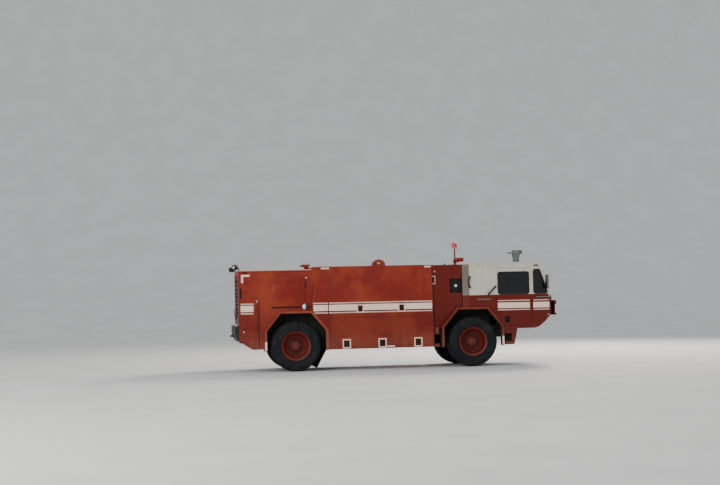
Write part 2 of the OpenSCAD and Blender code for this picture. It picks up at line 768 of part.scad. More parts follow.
chassis_frame();
engine();
drivetrain();
rear_axle();
front_axle();
knuckle_left();
knuckle_right();
wheel_front_left();
wheel_front_right();
wheel_rear_left();
wheel_rear_right();
tyre_front_left();
tyre_front_right();
tyre_rear_left();
tyre_rear_right();
rear_body();
engine_door();
tank_body();
pump_bay();
rear_arches();
front_arches();
cab_lower();
cab_upper();
cab_glass();
door_left();
door_right();
door_glass_left();
door_glass_right();
dashboard();
steering_wheel();
seats();
front_bumper();
headlamps();
rear_bumper();
tail_lamps();
cab_steps();
mirrors();
grab_rails();
roof_drum();
roof_fittings();
beacon();
floodlights();
turret_base();
turret_head();
turret_nozzle();
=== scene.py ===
"""Airport crash tender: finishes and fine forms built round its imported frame, in metres."""

import json
import math

import bmesh
import bpy
import numpy as np
from mathutils import Matrix, Vector

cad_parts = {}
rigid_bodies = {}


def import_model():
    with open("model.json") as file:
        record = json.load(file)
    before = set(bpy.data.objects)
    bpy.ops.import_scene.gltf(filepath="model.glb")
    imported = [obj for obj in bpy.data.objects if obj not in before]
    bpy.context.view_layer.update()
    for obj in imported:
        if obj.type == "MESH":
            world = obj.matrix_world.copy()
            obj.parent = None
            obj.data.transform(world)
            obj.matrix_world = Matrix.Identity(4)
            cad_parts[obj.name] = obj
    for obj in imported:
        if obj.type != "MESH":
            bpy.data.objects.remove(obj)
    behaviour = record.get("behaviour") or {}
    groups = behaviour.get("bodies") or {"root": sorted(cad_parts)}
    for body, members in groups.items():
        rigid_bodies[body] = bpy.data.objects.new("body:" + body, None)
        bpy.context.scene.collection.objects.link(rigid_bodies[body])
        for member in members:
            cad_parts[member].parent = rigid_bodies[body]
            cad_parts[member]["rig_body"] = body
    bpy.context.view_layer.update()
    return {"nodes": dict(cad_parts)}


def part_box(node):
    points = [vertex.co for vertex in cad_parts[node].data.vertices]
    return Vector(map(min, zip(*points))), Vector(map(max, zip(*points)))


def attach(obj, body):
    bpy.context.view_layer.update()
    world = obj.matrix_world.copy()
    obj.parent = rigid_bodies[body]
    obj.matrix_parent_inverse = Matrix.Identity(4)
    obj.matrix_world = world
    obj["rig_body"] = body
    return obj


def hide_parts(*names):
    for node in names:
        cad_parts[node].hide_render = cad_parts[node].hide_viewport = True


bl_info = {
    "name": "Airport Crash Tender",
    "version": (1, 0, 0),
    "blender": (4, 5, 0),
    "location": "View3D > Sidebar > Tender",
    "description": "Builds the painted body, wheels, cab and fittings of an airport crash tender",
    "category": "Object",
}

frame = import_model()


def middle(box):
    """The centre of a box, from its two corners."""
    return np.add(*box) / 2


# Places taken from the frame
TYRE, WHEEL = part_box("tyre_rear_left"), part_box("wheel_rear_left")
REAR_X, WHEEL_Y, AXLE_Z = middle(TYRE)
FRONT_X = middle(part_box("tyre_front_left"))[0]
TYRE_R = (TYRE[1].x - TYRE[0].x) / 2
TYRE_W = TYRE[1].y - TYRE[0].y
RIM_R = (WHEEL[1].x - WHEEL[0].x) / 2
TANK_Y, TANK_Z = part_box("tank_body")[1].yz
HOUSING_Y = TANK_Y - 0.08
BAY_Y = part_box("pump_bay")[1].y
CAB_Y = TANK_Y - 0.05
TAIL_X = REAR_X - 1.5
# The tank's sides lean in by LEAN from the crease to the roof
CREASE_Z = 1.98
LEAN = 0.11
# The vehicle's left and right
SIDES = {"left": 1, "right": -1}
# Two directions of a plate, whose cross product points out of its face: on the left wall, and lying flat
WALL = (-1, 0, 0), (0, 0, 1)
FLAT = (1, 0, 0), (0, 1, 0)


# Shapes as functions of two parameters


def quads_of(nu, nv, wrap_u, wrap_v):
    """Quads of a grid of nu by nv points: each joins the next along u and along v, round to the first where wrapped."""
    u, v = np.meshgrid(np.arange(nu if wrap_u else nu - 1), np.arange(nv if wrap_v else nv - 1), indexing="ij")
    u2, v2 = (u + 1) % nu, (v + 1) % nv
    quads = np.stack([u * nv + v, u2 * nv + v, u2 * nv + v2, u * nv + v2], axis=-1)
    return quads.reshape(-1, 4).tolist()


def caps(loops, count):
    """Two faces that close a stack of loops at its ends."""
    return [list(range(count)), list(range((loops - 1) * count, loops * count))]


def gather(parts):
    """Several (points, faces) joined into one: each part's faces count on from the points before it."""
    points, faces, start = [], [], 0
    for part_points, part_faces in parts:
        flat = np.asarray(part_points, float).reshape(-1, 3)
        points.append(flat)
        faces.extend([[int(i) + start for i in f] for f in part_faces])
        start += len(flat)
    return np.concatenate(points), faces


def linked(name, data):
    """A new object in the scene."""
    thing = bpy.data.objects.new(name, data)
    bpy.context.scene.collection.objects.link(thing)
    return thing


def add(name, parts, kind, smooth=40, body="vehicle", slot=None):
    """Several shapes as one piece in a finish: doubles merged, normals turned out, shaded smooth up to an angle."""
    points, faces = gather(parts)
    mesh = bpy.data.meshes.new(name)
    mesh.from_pydata(points.tolist(), [], faces)
    shape = bmesh.new()
    shape.from_mesh(mesh)
    bmesh.ops.remove_doubles(shape, verts=shape.verts, dist=1e-5)
    bmesh.ops.dissolve_degenerate(shape, edges=shape.edges, dist=1e-6)
    bmesh.ops.recalc_face_normals(shape, faces=shape.faces)
    shape.to_mesh(mesh)
    shape.free()
    piece = linked(name, mesh)
    mesh.materials.append(FINISH[kind])
    if smooth:
        mesh.shade_smooth()
        mesh.set_sharp_from_angle(angle=math.radians(smooth))
    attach(piece, body)
    return piece


def moved(shape, by=(0, 0, 0), flip=(1, 1, 1)):
    """A shape mirrored by the signs in flip, then moved."""
    return shape[0] * np.array(flip) + np.array(by), shape[1]


def pair(name, parts, kind, smooth=40, **where):
    """The left side's parts and their mirror images on the right, as one piece."""
    mirrored = [moved(part, flip=(1, -1, 1)) for part in parts]
    return add(name, parts + mirrored, kind, smooth, **where)


def lathe(profile, turns=64, centre=(0, 0, 0), axis="y"):
    """Profile points (radius, height) carried once round the axis: at angle t a point stands radius*(cos t, sin t)
    beside it."""
    r, h = np.asarray(profile, float).T
    t = np.linspace(0, 2 * np.pi, turns, endpoint=False)[:, None]
    a, b, c = r * np.cos(t), r * np.sin(t), np.broadcast_to(h, (turns, len(h)))
    order = {"x": (c, a, b), "y": (b, c, a), "z": (a, b, c)}[axis]
    points = np.stack(order, axis=-1) + np.asarray(centre, float)
    return points.reshape(-1, 3), quads_of(turns, len(r), True, False)


def curve(before, corner, after, reach, per):
    """A corner rounded by a quadratic curve: (1-t)^2 a + 2t(1-t) corner + t^2 b, a and b at the reach beside it."""
    a = corner + (before - corner) * min(0.45, reach / np.linalg.norm(before - corner))
    b = corner + (after - corner) * min(0.45, reach / np.linalg.norm(after - corner))
    t = np.linspace(0, 1, per)[:, None]
    return (1 - t) ** 2 * a + 2 * t * (1 - t) * corner + t**2 * b


def smooth_path(corners, per=8, bend=0.05):
    """Straight runs between corners, each inner corner rounded by a curve."""
    corners = np.asarray(corners, float)
    curves = [curve(*three, bend, per) for three in zip(corners[:-2], corners[1:-1], corners[2:])]
    return np.concatenate([corners[:1], *curves, corners[-1:]])


def tube(path, radius, sides=16, closed=False, squash=1.0):
    """A circle carried along a path: at each point it stands square to the path, turned with the path's own plane."""
    path = np.asarray(path, float)
    if closed:
        ahead = np.roll(path, -1, 0) - np.roll(path, 1, 0)
    else:
        ahead = np.gradient(path, axis=0)
    ahead /= np.linalg.norm(ahead, axis=1, keepdims=True)
    planes = np.linalg.svd(path - path.mean(0), full_matrices=False)[2]
    normal = planes[-1]
    if abs(ahead @ normal).max() > 0.9:
        normal = planes[1]
    one = np.cross(ahead, normal)
    one /= np.linalg.norm(one, axis=1, keepdims=True)
    two = np.cross(ahead, one)
    t = np.linspace(0, 2 * np.pi, sides, endpoint=False)
    ring = np.cos(t)[None, :, None] * one[:, None] + squash * np.sin(t)[None, :, None] * two[:, None]
    points = path[:, None] + radius * ring
    faces = quads_of(len(path), sides, closed, True)
    if not closed:
        faces += caps(len(path), sides)
    return points.reshape(-1, 3), faces


def rounded_loop(width, height, radius, per=6):
    """Points round a rectangle with quarter-circle corners, width along the first axis, height along the second."""
    t = np.linspace(0, np.pi / 2, per)
    corners = []
    for k, (sx, sy) in enumerate(((1, 1), (-1, 1), (-1, -1), (1, -1))):
        a = t + k * np.pi / 2
        x = sx * (width / 2 - radius) + radius * np.cos(a)
        y = sy * (height / 2 - radius) + radius * np.sin(a)
        corners.append(np.stack([x, y], axis=-1))
    return np.concatenate(corners)


def place(flat, centre, across, up):
    """Flat points laid out from centre along two directions."""
    return np.asarray(centre, float) + flat[:, :1] * np.asarray(across, float) + flat[:, 1:2] * np.asarray(up, float)


def plate(width, height, depth, radius, centre, across=(1, 0, 0), up=(0, 0, 1), edge=0.003, per=6):
    """A rounded rectangular plate: loops shrink by the edge at the front and back, and both ends are filled."""
    out = np.cross(across, up)
    low, corner = edge * 0.3, depth - edge
    steps = [(edge, 0), (low, low), (0, edge), (0, corner), (low, depth - low), (edge, depth)]
    loops = []
    for shrink, lift in steps:
        flat = rounded_loop(width - 2 * shrink, height - 2 * shrink, max(radius - shrink, 0.0005), per)
        loops.append(place(flat, np.asarray(centre, float) + out * lift, across, up))
    count = len(loops[0])
    return np.concatenate(loops), quads_of(len(loops), count, False, True) + caps(len(loops), count)


def prism(outline, low, high):
    """An outline in x and z carried straight from low to high along y."""
    x, z = np.asarray(outline, float).T
    ends = [np.stack([x, np.full(len(x), level), z], axis=-1) for level in (low, high)]
    return np.concatenate(ends), quads_of(2, len(x), False, True) + caps(2, len(x))


def box_shape(low, high):
    """A box between two corners, as a prism of its own end."""
    (x0, y0, z0), (x1, y1, z1) = low, high
    return prism([(x0, z0), (x1, z0), (x1, z1), (x0, z1)], y0, y1)


def bevel(piece, width, segments=2, angle=35):
    """A rounded edge on every corner sharper than the angle."""
    mod = piece.modifiers.new("edge", "BEVEL")
    mod.width = width
    mod.segments = segments
    mod.limit_method = "ANGLE"
    mod.angle_limit = math.radians(angle)
    mod.harden_normals = True
    mod.miter_outer = "MITER_ARC"
    return mod


def dressed(node, kinds, width=0.006, segments=2):
    """A merged copy of a frame node with rounded edges, the last finish on the rounds."""
    source = frame["nodes"][node]
    mesh = source.data.copy()
    shape = bmesh.new()
    shape.from_mesh(mesh)
    bmesh.ops.remove_doubles(shape, verts=shape.verts, dist=5e-5)
    bmesh.ops.dissolve_limit(
        shape, angle_limit=math.radians(1.0), verts=shape.verts, edges=shape.edges, use_dissolve_boundaries=False
    )
    shape.to_mesh(mesh)
    shape.free()
    mesh.materials.clear()
    for kind in kinds:
        mesh.materials.append(FINISH[kind])
    mesh.polygons.foreach_set("material_index", np.zeros(len(mesh.polygons), np.int32))
    piece = linked(node + "_panel", mesh)
    mesh.shade_smooth()
    mesh.set_sharp_from_angle(angle=math.radians(30))
    if width:
        bevel(piece, width, segments).material = len(kinds) - 1
    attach(piece, source["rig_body"])
    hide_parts(node)
    return piece


def paint_faces(piece, rules, edges=-1):
    """The faces that pass a rule's test take the material of its index, later rules over earlier. A test is given each
    face's centre x, y, z and its normal's parts ahead, out and up; y and out are counted from the middle plane."""
    mesh = piece.data
    centre, normal = np.empty((2, len(mesh.polygons) * 3))
    mesh.polygons.foreach_get("center", centre)
    mesh.polygons.foreach_get("normal", normal)
    x, y, z = centre.reshape(-1, 3).T
    ahead, out, up = normal.reshape(-1, 3).T
    chosen = np.zeros(len(mesh.polygons), np.int32)
    for index, test in rules:
        chosen[test(x, np.abs(y), z, ahead, out * np.copysign(1, y), up)] = index
    mesh.polygons.foreach_set("material_index", chosen)
    for mod in piece.modifiers:
        mod.material = edges


# The masks from in_wells to on_vent_cap pick faces for painted shade and painted light: near-black shade in wells, on
# arch lips, in the bay and the steps; shade in the bay's pockets and on the cab's corners; a glint on the outlet caps
# and a sunlit top on the vent cap
def in_wells(x, y, z, ahead, out, up):
    """Faces inside the wheel wells: near an axle, below the arches' crown and inside the body's sides."""
    near = (np.abs(x - REAR_X) < 0.87) | (np.abs(x - FRONT_X) < 0.87)
    upright = (np.abs(ahead) > 0.99) & (z > 1.2)
    return near & ~upright & (z < 1.61) & (y < 1.12)


def on_lip(x, y, z, ahead, out, up):
    """Faces of the arch lips that look at the wheel."""
    axle = np.where(x > 0, FRONT_X, REAR_X)
    return ((axle - x) * ahead + (AXLE_Z - z) * up > 0.1) & (np.abs(out) < 0.5)


def in_bay(x, y, z, ahead, out, up):
    """Faces of the engine bay: inside the walls, below the roof and ahead of the tail."""
    return (x < REAR_X - 0.8) & (x > TAIL_X + 0.01) & (y < 1.1) & (z < 2.6)


def in_recess(x, y, z, ahead, out, up):
    """Faces of the pockets in the bay's sides."""
    inside = (y < BAY_Y - 0.001) & (y > BAY_Y - 0.097)
    return inside & (np.abs(x - FRONT_X + 0.435) < 0.165) & (np.abs(z - 2.189) < 0.192)


def on_outlet(x, y, z, ahead, out, up):
    """Faces of the capped outlets that stand in the pockets."""
    near = np.hypot(x - OUTLET[0], z - OUTLET[1]) < 0.0715
    return in_recess(x, y, z, ahead, out, up) & near & (y > BAY_Y - 0.089)


def in_steps(x, y, z, ahead, out, up):
    """Faces that look into the step boxes, save their outer plates."""
    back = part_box("cab_steps")[0].x + 0.02
    inner = (y < CAB_Y - 0.17) & (out > 0.9)
    ends = ((x < back) & (ahead > 0.9)) | ((x > back + 0.1) & (ahead < -0.5) & (y < CAB_Y - 0.02))
    return inner | ends


def on_cab_corner(x, y, z, ahead, out, up):
    """Slanted faces at the cab's front corners."""
    return (x > 4.2) & (ahead > 0.5) & (np.abs(out) > 0.3)


def on_rear_corner(x, y, z, ahead, out, up):
    """Slanted faces at the cab top's rear corners."""
    return (x < 2.0) & (ahead < -0.2) & (np.abs(out) > 0.5)


def on_vent_cap(x, y, z, ahead, out, up):
    """The top of the roof vent's cap."""
    return (x < -2.2) & (z > 2.82) & (up > 0.9) & (y < 1.07)


def on_head(x, y, z, ahead, out, up):
    """Faces of the mirrors' heads, and of their arms below."""
    return (x < FRONT_X + 2.0825) & (z < 2.46) & (z > 2.055) | (z < 1.86)


# Finishes

# Middle of the capped outlet, and of the filler cap on the housing's side
OUTLET = (FRONT_X - 0.427, 2.19)
FILLER = (-2.474, 1.713)
DUST = (0.36, 0.27, 0.19)
FINISH = {}


def tinted(colour, factor, plus=0.0):
    """A colour times a factor, or times one for each channel, plus a constant."""
    return tuple(np.multiply(colour, factor) + plus)


class Nodes:
    """Short calls for a material's node tree."""

    def __init__(self, name):
        self.material = bpy.data.materials.new(name)
        self.material.use_nodes = True
        self.tree = self.material.node_tree
        self.tree.nodes.clear()
        self.shader = self.new("BsdfPrincipled")
        out = self.new("OutputMaterial")
        self.link(self.shader.outputs[0], out.inputs["Surface"])
        self.where = self.new("TexCoord").outputs["Object"]

    def new(self, kind):
        return self.tree.nodes.new("ShaderNode" + kind)

    def link(self, a, b):
        self.tree.links.new(a, b)

    def feed(self, socket, value):
        """A socket takes a link, a number or a colour, which gets its alpha here."""
        if hasattr(value, "is_output"):
            self.link(value, socket)
        else:
            socket.default_value = (*value, 1) if isinstance(value, tuple) else value

    def noise(self, scale, detail=4.0, rough=0.55, stretch=(1, 1, 1), shift=(0, 0, 0)):
        mapping = self.new("Mapping")
        mapping.inputs["Scale"].default_value = stretch
        mapping.inputs["Location"].default_value = shift
        self.link(self.where, mapping.inputs["Vector"])
        node = self.new("TexNoise")
        node.inputs["Scale"].default_value = scale
        node.inputs["Detail"].default_value = detail
        node.inputs["Roughness"].default_value = rough
        self.link(mapping.outputs[0], node.inputs["Vector"])
        return node.outputs["Fac"]

    def ramp(self, value, low, high, to_low=0.0, to_high=1.0):
        node = self.new("MapRange")
        node.interpolation_type = "SMOOTHSTEP"
        self.feed(node.inputs["Value"], value)
        for key, number in (("From Min", low), ("From Max", high), ("To Min", to_low), ("To Max", to_high)):
            node.inputs[key].default_value = number
        return node.outputs[0]

    def math(self, kind, a, b=0.0):
        node = self.new("Math")
        node.operation = kind
        self.feed(node.inputs[0], a)
        self.feed(node.inputs[1], b)
        return node.outputs[0]

    def mix(self, amount, a, b):
        node = self.new("Mix")
        node.data_type = "RGBA"
        self.feed(node.inputs[0], amount)
        self.feed(node.inputs[6], a)
        self.feed(node.inputs[7], b)
        return node.outputs[2]

    def along(self, index):
        node = self.new("SeparateXYZ")
        self.link(self.where, node.inputs[0])
        return node.outputs[index]

    def bump(self, height, strength, distance=0.002):
        node = self.new("Bump")
        node.inputs["Strength"].default_value = strength
        node.inputs["Distance"].default_value = distance
        self.link(height, node.inputs["Height"])
        self.link(node.outputs[0], self.shader.inputs["Normal"])

    def done(self, colour, rough, **fixed):
        self.feed(self.shader.inputs["Base Color"], colour)
        self.feed(self.shader.inputs["Roughness"], rough)
        for key, value in fixed.items():
            self.shader.inputs[key.replace("_", " ")].default_value = value
        return self.material


def weathered_paint(name, fresh, faded, rough=0.46, dust=0.4, dust_top=1.2, patch=1.3, streak=0.5, spec=0.25, low=0.0):
    """Old coach paint: broad faded patches, painted shade that darkens it below the waist, streaks down the panels,
    fine chips and dust thickening towards the ground."""
    n = Nodes(name)
    broad = n.ramp(n.noise(patch, 3.0), 0.39, 0.62)
    fine = n.noise(9.0, 5.0, 0.6)
    colour = n.mix(n.math("MULTIPLY", broad, 0.85), fresh, faded)
    colour = n.mix(n.ramp(fine, 0.45, 0.8, 0.0, 0.35), colour, tinted(fresh, 0.7))
    # Painted shade: the paint darkens below the waist by the share low
    colour = n.mix(n.ramp(n.along(2), 1.75, 1.4, 0.0, low), colour, tinted(fresh, 0.35))
    runs = n.ramp(n.noise(3.2, 4.0, 0.5, stretch=(2.4, 2.4, 0.16)), 0.5, 0.78, 0.0, streak)
    colour = n.mix(runs, colour, tinted(fresh, 0.55, 0.03))
    ground = n.ramp(n.along(2), dust_top, 0.35)
    dusty = n.math("MULTIPLY", n.math("MULTIPLY", ground, dust), n.ramp(n.noise(6.0, 5.0, 0.65), 0.3, 0.7, 0.35, 1.0))
    colour = n.mix(dusty, colour, DUST)
    chips = n.ramp(n.noise(46.0, 2.0, 0.4), 0.735, 0.76)
    colour = n.mix(n.math("MULTIPLY", chips, 0.55), colour, (0.1, 0.06, 0.05))
    roughness = n.ramp(n.noise(4.0, 4.0), 0.3, 0.7, rough - 0.07, rough + 0.12)
    n.bump(n.noise(5.0, 3.0, 0.5), 0.12, 0.01)
    return n.done(colour, roughness, Specular_IOR_Level=spec)


def bare_metal(name, colour, rough=0.4, metallic=0.8, dust=0.3):
    """Dull metal with cloudy tarnish and settled dust."""
    n = Nodes(name)
    tarnish = n.ramp(n.noise(14.0, 5.0, 0.6), 0.35, 0.7)
    shade = n.mix(tarnish, colour, tinted(colour, 0.55))
    shade = n.mix(n.ramp(n.noise(5.0, 4.0), 0.5, 0.75, 0.0, dust), shade, DUST)
    roughness = n.ramp(n.noise(22.0, 4.0), 0.3, 0.7, rough - 0.08, rough + 0.15)
    n.bump(n.noise(60.0, 3.0), 0.08, 0.002)
    return n.done(shade, roughness, Metallic=metallic)


def half_lit_metal(name, bright, dark, middle):
    """Polished metal painted bright on one side of a line across the vehicle and dark on the other, a painted highlight
    and painted shade, with a soft uneven border.
    """
    n = Nodes(name)
    ragged = n.math("ADD", n.along(0), n.ramp(n.noise(30.0, 3.0), 0.3, 0.7, -0.006, 0.006))
    shade = n.mix(n.ramp(ragged, middle - 0.008, middle + 0.008), bright, dark)
    n.bump(n.noise(60.0, 3.0), 0.08, 0.002)
    return n.done(shade, n.ramp(n.noise(22.0, 4.0), 0.3, 0.7, 0.25, 0.4), Metallic=0.5)


def glint_ringed_metal(name, bright, dark, x, z, radius):
    """Metal painted bright inside a circle about a line across the vehicle as a painted glint, and dark outside it as
    painted shade.
    """
    n = Nodes(name)
    dx, dz = n.math("SUBTRACT", n.along(0), x), n.math("SUBTRACT", n.along(2), z)
    away = n.math("SQRT", n.math("ADD", n.math("MULTIPLY", dx, dx), n.math("MULTIPLY", dz, dz)))
    ragged = n.math("ADD", away, n.ramp(n.noise(40.0, 3.0), 0.3, 0.7, -0.003, 0.003))
    shade = n.mix(n.ramp(ragged, radius - 0.003, radius + 0.003), bright, dark)
    n.bump(n.noise(60.0, 3.0), 0.08, 0.002)
    return n.done(shade, n.ramp(n.noise(22.0, 4.0), 0.3, 0.7, 0.3, 0.45), Metallic=0.2)


def rubber(name, colour=(0.022, 0.022, 0.024), dust=0.35, rough=0.75, grain=120.0, spec=0.4):
    """Rubber gone grey in patches, with dust in patches and a fine grain."""
    n = Nodes(name)
    worn = n.ramp(n.noise(7.0, 5.0, 0.6), 0.35, 0.7)
    shade = n.mix(worn, colour, tinted(colour, 1.8))
    shade = n.mix(n.ramp(n.noise(3.0, 5.0, 0.65), 0.42, 0.75, 0.0, dust), shade, DUST)
    n.bump(n.noise(grain, 2.0), 0.15, 0.001)
    return n.done(shade, n.ramp(n.noise(16.0, 3.0), 0.3, 0.7, rough - 0.08, rough + 0.08), Specular_IOR_Level=spec)


def reflective(name, colour, rough=0.38):
    """Reflective sheet gone yellowish, with small nicks and a faint cell pattern."""
    n = Nodes(name)
    shade = n.mix(n.ramp(n.noise(2.0, 4.0), 0.35, 0.7, 0.0, 0.5), colour, tinted(colour, (0.93, 0.86, 0.76)))
    shade = n.mix(n.ramp(n.noise(30.0, 4.0, 0.7), 0.62, 0.72, 0.0, 0.35), shade, (0.3, 0.12, 0.08))
    n.bump(n.noise(240.0, 1.0), 0.05, 0.0005)
    return n.done(shade, n.ramp(n.noise(12.0), 0.3, 0.7, rough - 0.05, rough + 0.12))


def pane(name, tint, rough=0.03, spec=0.5):
    """Window glass with a film of dust that dulls it in patches."""
    n = Nodes(name)
    film = n.ramp(n.noise(5.0, 5.0, 0.6), 0.4, 0.8, rough, rough + 0.12)
    colour = n.mix(n.ramp(n.noise(2.2, 4.0), 0.4, 0.7, 0.0, 0.4), tint, tinted(tint, 0.8))
    return n.done(colour, film, Transmission_Weight=0.92, IOR=1.45, Specular_IOR_Level=spec)


def lamp_plastic(name, colour, see_through=0.3):
    """Moulded lamp plastic, a little clouded, with fine crazing and dust in patches."""
    n = Nodes(name)
    cloudy = n.mix(n.ramp(n.noise(12.0, 5.0), 0.35, 0.7, 0.0, 0.5), colour, tinted(colour, 0.75, 0.04))
    cloudy = n.mix(n.ramp(n.noise(5.0, 4.0, 0.6), 0.55, 0.8, 0.0, 0.3), cloudy, DUST)
    n.bump(n.noise(150.0, 2.0), 0.06, 0.0006)
    return n.done(cloudy, n.ramp(n.noise(9.0), 0.3, 0.7, 0.1, 0.24), Transmission_Weight=see_through, IOR=1.49)


def upholstery(name, colour):
    """Coated seat cloth: grained, rubbed pale in patches and dusty in patches."""
    n = Nodes(name)
    rubbed = n.mix(n.ramp(n.noise(4.0, 4.0), 0.4, 0.7), colour, tinted(colour, 1.9))
    rubbed = n.mix(n.ramp(n.noise(11.0, 5.0, 0.65), 0.55, 0.8, 0.0, 0.3), rubbed, DUST)
    n.bump(n.noise(420.0, 2.0), 0.25, 0.0008)
    return n.done(rubbed, n.ramp(n.noise(18.0, 3.0), 0.3, 0.7, 0.5, 0.72))


def rusted(name, colour):
    """Old exhaust steel: brown rust in two tones with dark scale."""
    n = Nodes(name)
    shade = n.mix(n.ramp(n.noise(18.0, 6.0, 0.65), 0.35, 0.65), colour, tinted(colour, 1.7))
    shade = n.mix(n.ramp(n.noise(7.0, 5.0), 0.52, 0.7, 0.0, 0.8), shade, (0.035, 0.028, 0.025))
    n.bump(n.noise(70.0, 4.0), 0.35, 0.002)
    return n.done(shade, 0.85, Metallic=0.25)


def make_finishes(look):
    """Every material of the vehicle, from the colours in the sidebar."""
    red, orange, cream = tuple(look.red), tuple(look.sun_faded), tuple(look.cream)
    f = FINISH
    # Paints: material, fresh colour, faded colour, and how each differs from plain coach paint
    paints = {
        "red": ("body_red_paint", red, orange, dict(dust=0.2, low=0.3)),
        # The cab's red: a darker copy of the body red, painted shade over the cab's lower part, bay, bumper, doors and
        # steps
        "cab_red_shaded": ("cab_red_painted_shade", tinted(red, 0.62), tinted(red, 0.68), dict(dust=0.15, low=0.15)),
        # Edge paints for the rounds, lighter than their panels: edge wear and a painted highlight
        "cab_worn_lit_edge": ("cab_red_worn_lit_edge", tinted(orange, 0.8), tinted(red, 0.9), dict(dust=0.15)),
        "red_worn_lit_edge": ("body_red_worn_lit_edge", tinted(orange, 1.25, 0.02), tinted(red, 1.1), {}),
        "dark_red": ("shaded_red_paint", tinted(red, 0.62), red, dict(dust=0.8)),
        # Arch paints: paler, lighter copies of the red, painted light on the outward-facing flares
        "arch_red": ("arch_red_painted_light", tinted(orange, (1.05, 1.6, 2.6)), tinted(red, 1.08), dict(dust=0.25, low=0.35)),
        "front_arch_red": ("front_arch_painted_light", tinted(orange, (0.8, 1.2, 2.0)), tinted(red, 0.82),
            dict(dust=0.25, low=0.35)),
        "grille_grey": ("grille_grey_paint", (0.042, 0.04, 0.038), (0.066, 0.061, 0.056), dict(rough=0.6, dust=0.3)),
        # Wheel paints: a darker copy of the red as painted shade on the disc and the rim's barrel, a paler copy as
        # painted highlight on the rim's lip
        "wheel_red": ("wheel_red_painted_shade", tinted(red, (0.46, 0.42, 0.45)), tinted(red, 0.5),
            dict(dust=0.03, patch=3.0, spec=0.12)),
        "rim_red_lit": ("rim_lip_painted_highlight", tinted(red, (0.62, 1.4, 2.6)), tinted(red, 0.7), dict(dust=0.1, patch=3.0)),
        "cream": ("cab_cream_paint", cream, tinted(cream, (0.94, 0.9, 0.82)), dict(rough=0.38, streak=0.18)),
        # The cream's edge paint: a painted highlight on the rounds
        "cream_lit_edge": ("cab_cream_lit_edge", tinted(cream, 1.06), cream, dict(streak=0.1)),
        "chassis": ("chassis_black_paint", (0.014, 0.013, 0.012), (0.026, 0.022, 0.02),
            dict(rough=0.6, dust=0.12, dust_top=1.6, spec=0.2)),
        # Near-black painted shade in the wheel wells, on the arch lips, in the engine bay and step boxes, and under the
        # cab
        "well": ("wheel_well_black", (0.034, 0.036, 0.03), (0.042, 0.043, 0.036),
            dict(rough=0.8, dust=0.05, spec=0.15)),
        "deep_red": ("shadowed_red_paint", (0.026, 0.008, 0.006), (0.036, 0.012, 0.008),
            dict(rough=0.6, dust=0.04, spec=0.12)),
        # Painted shade inside the pockets in the bay's sides
        "pocket": ("pocket_painted_shade", (0.022, 0.016, 0.014), (0.03, 0.022, 0.019),
            dict(rough=0.6, dust=0.04, spec=0.15)),
        # A painted sunlit highlight on the housing's top edge and on the vent cap's top
        "sunlit_edge": ("painted_sunlit_edge", (0.74, 0.45, 0.37), (0.64, 0.38, 0.3), dict(dust=0.1)),
        # Painted shade on the cab top's rear corner chamfers
        "cream_corner_shade": ("cab_corner_painted_shade", tinted(cream, (0.33, 0.27, 0.255)), tinted(cream, (0.28, 0.22, 0.2)),
            dict(streak=0.2)),
        "black": ("black_fitting_paint", (0.016, 0.016, 0.017), (0.03, 0.028, 0.027), dict(rough=0.5, dust=0.18)),
        # Seam lines: painted shadow in the panel joints and under the shelf
        "seam": ("panel_seam_painted_shadow", tinted(red, 0.3), tinted(red, 0.42), dict(rough=0.6, dust=0.4)),
        # The hub: a paler copy of the red, a painted highlight
        "hub_red_lit": ("hub_red_painted_highlight", tinted(red, (0.55, 1.4, 2.6)), tinted(red, 0.6), dict(dust=0.12, patch=5.0)),
        "badge": ("side_badge_paint", (0.12, 0.1, 0.07), (0.15, 0.12, 0.09), dict(dust=0.1)),
        "plate_pale": ("number_plate_paint", (0.66, 0.65, 0.6), (0.58, 0.56, 0.5), dict(dust=0.3)),
        "dial": ("dial_face_paint", (0.55, 0.55, 0.5), (0.48, 0.47, 0.42), dict(rough=0.3, dust=0.0)),
        "handle_cream": ("handle_cream_paint", (0.62, 0.42, 0.36), (0.55, 0.34, 0.28), dict(dust=0.2)),
        "mirror_shell": ("mirror_shell_paint", (0.21, 0.195, 0.185), (0.16, 0.15, 0.14), dict(dust=0.2)),
        "tube_cream": ("mirror_tube_paint", (0.66, 0.64, 0.58), (0.58, 0.55, 0.48), dict(dust=0.2)),
        "pale": ("turret_pale_paint", (0.125, 0.165, 0.155), (0.17, 0.205, 0.19), dict(rough=0.5, dust=0.1)),
        # A lighter turret paint: the nozzle's tone, and a painted highlight on the turret's edges
        "pale_worn": ("turret_lighter_paint", (0.19, 0.235, 0.22), (0.24, 0.28, 0.26), dict(rough=0.5, dust=0.1)),
    }
    for key, (name, fresh, faded, wear) in paints.items():
        f[key] = weathered_paint(name, fresh, faded, **wear)
    # The filler cap: painted highlight on one half, painted shade on the other
    f["cap_half_lit"] = half_lit_metal("filler_cap_half_lit_metal", (0.78, 0.77, 0.75), (0.07, 0.06, 0.06), FILLER[0])
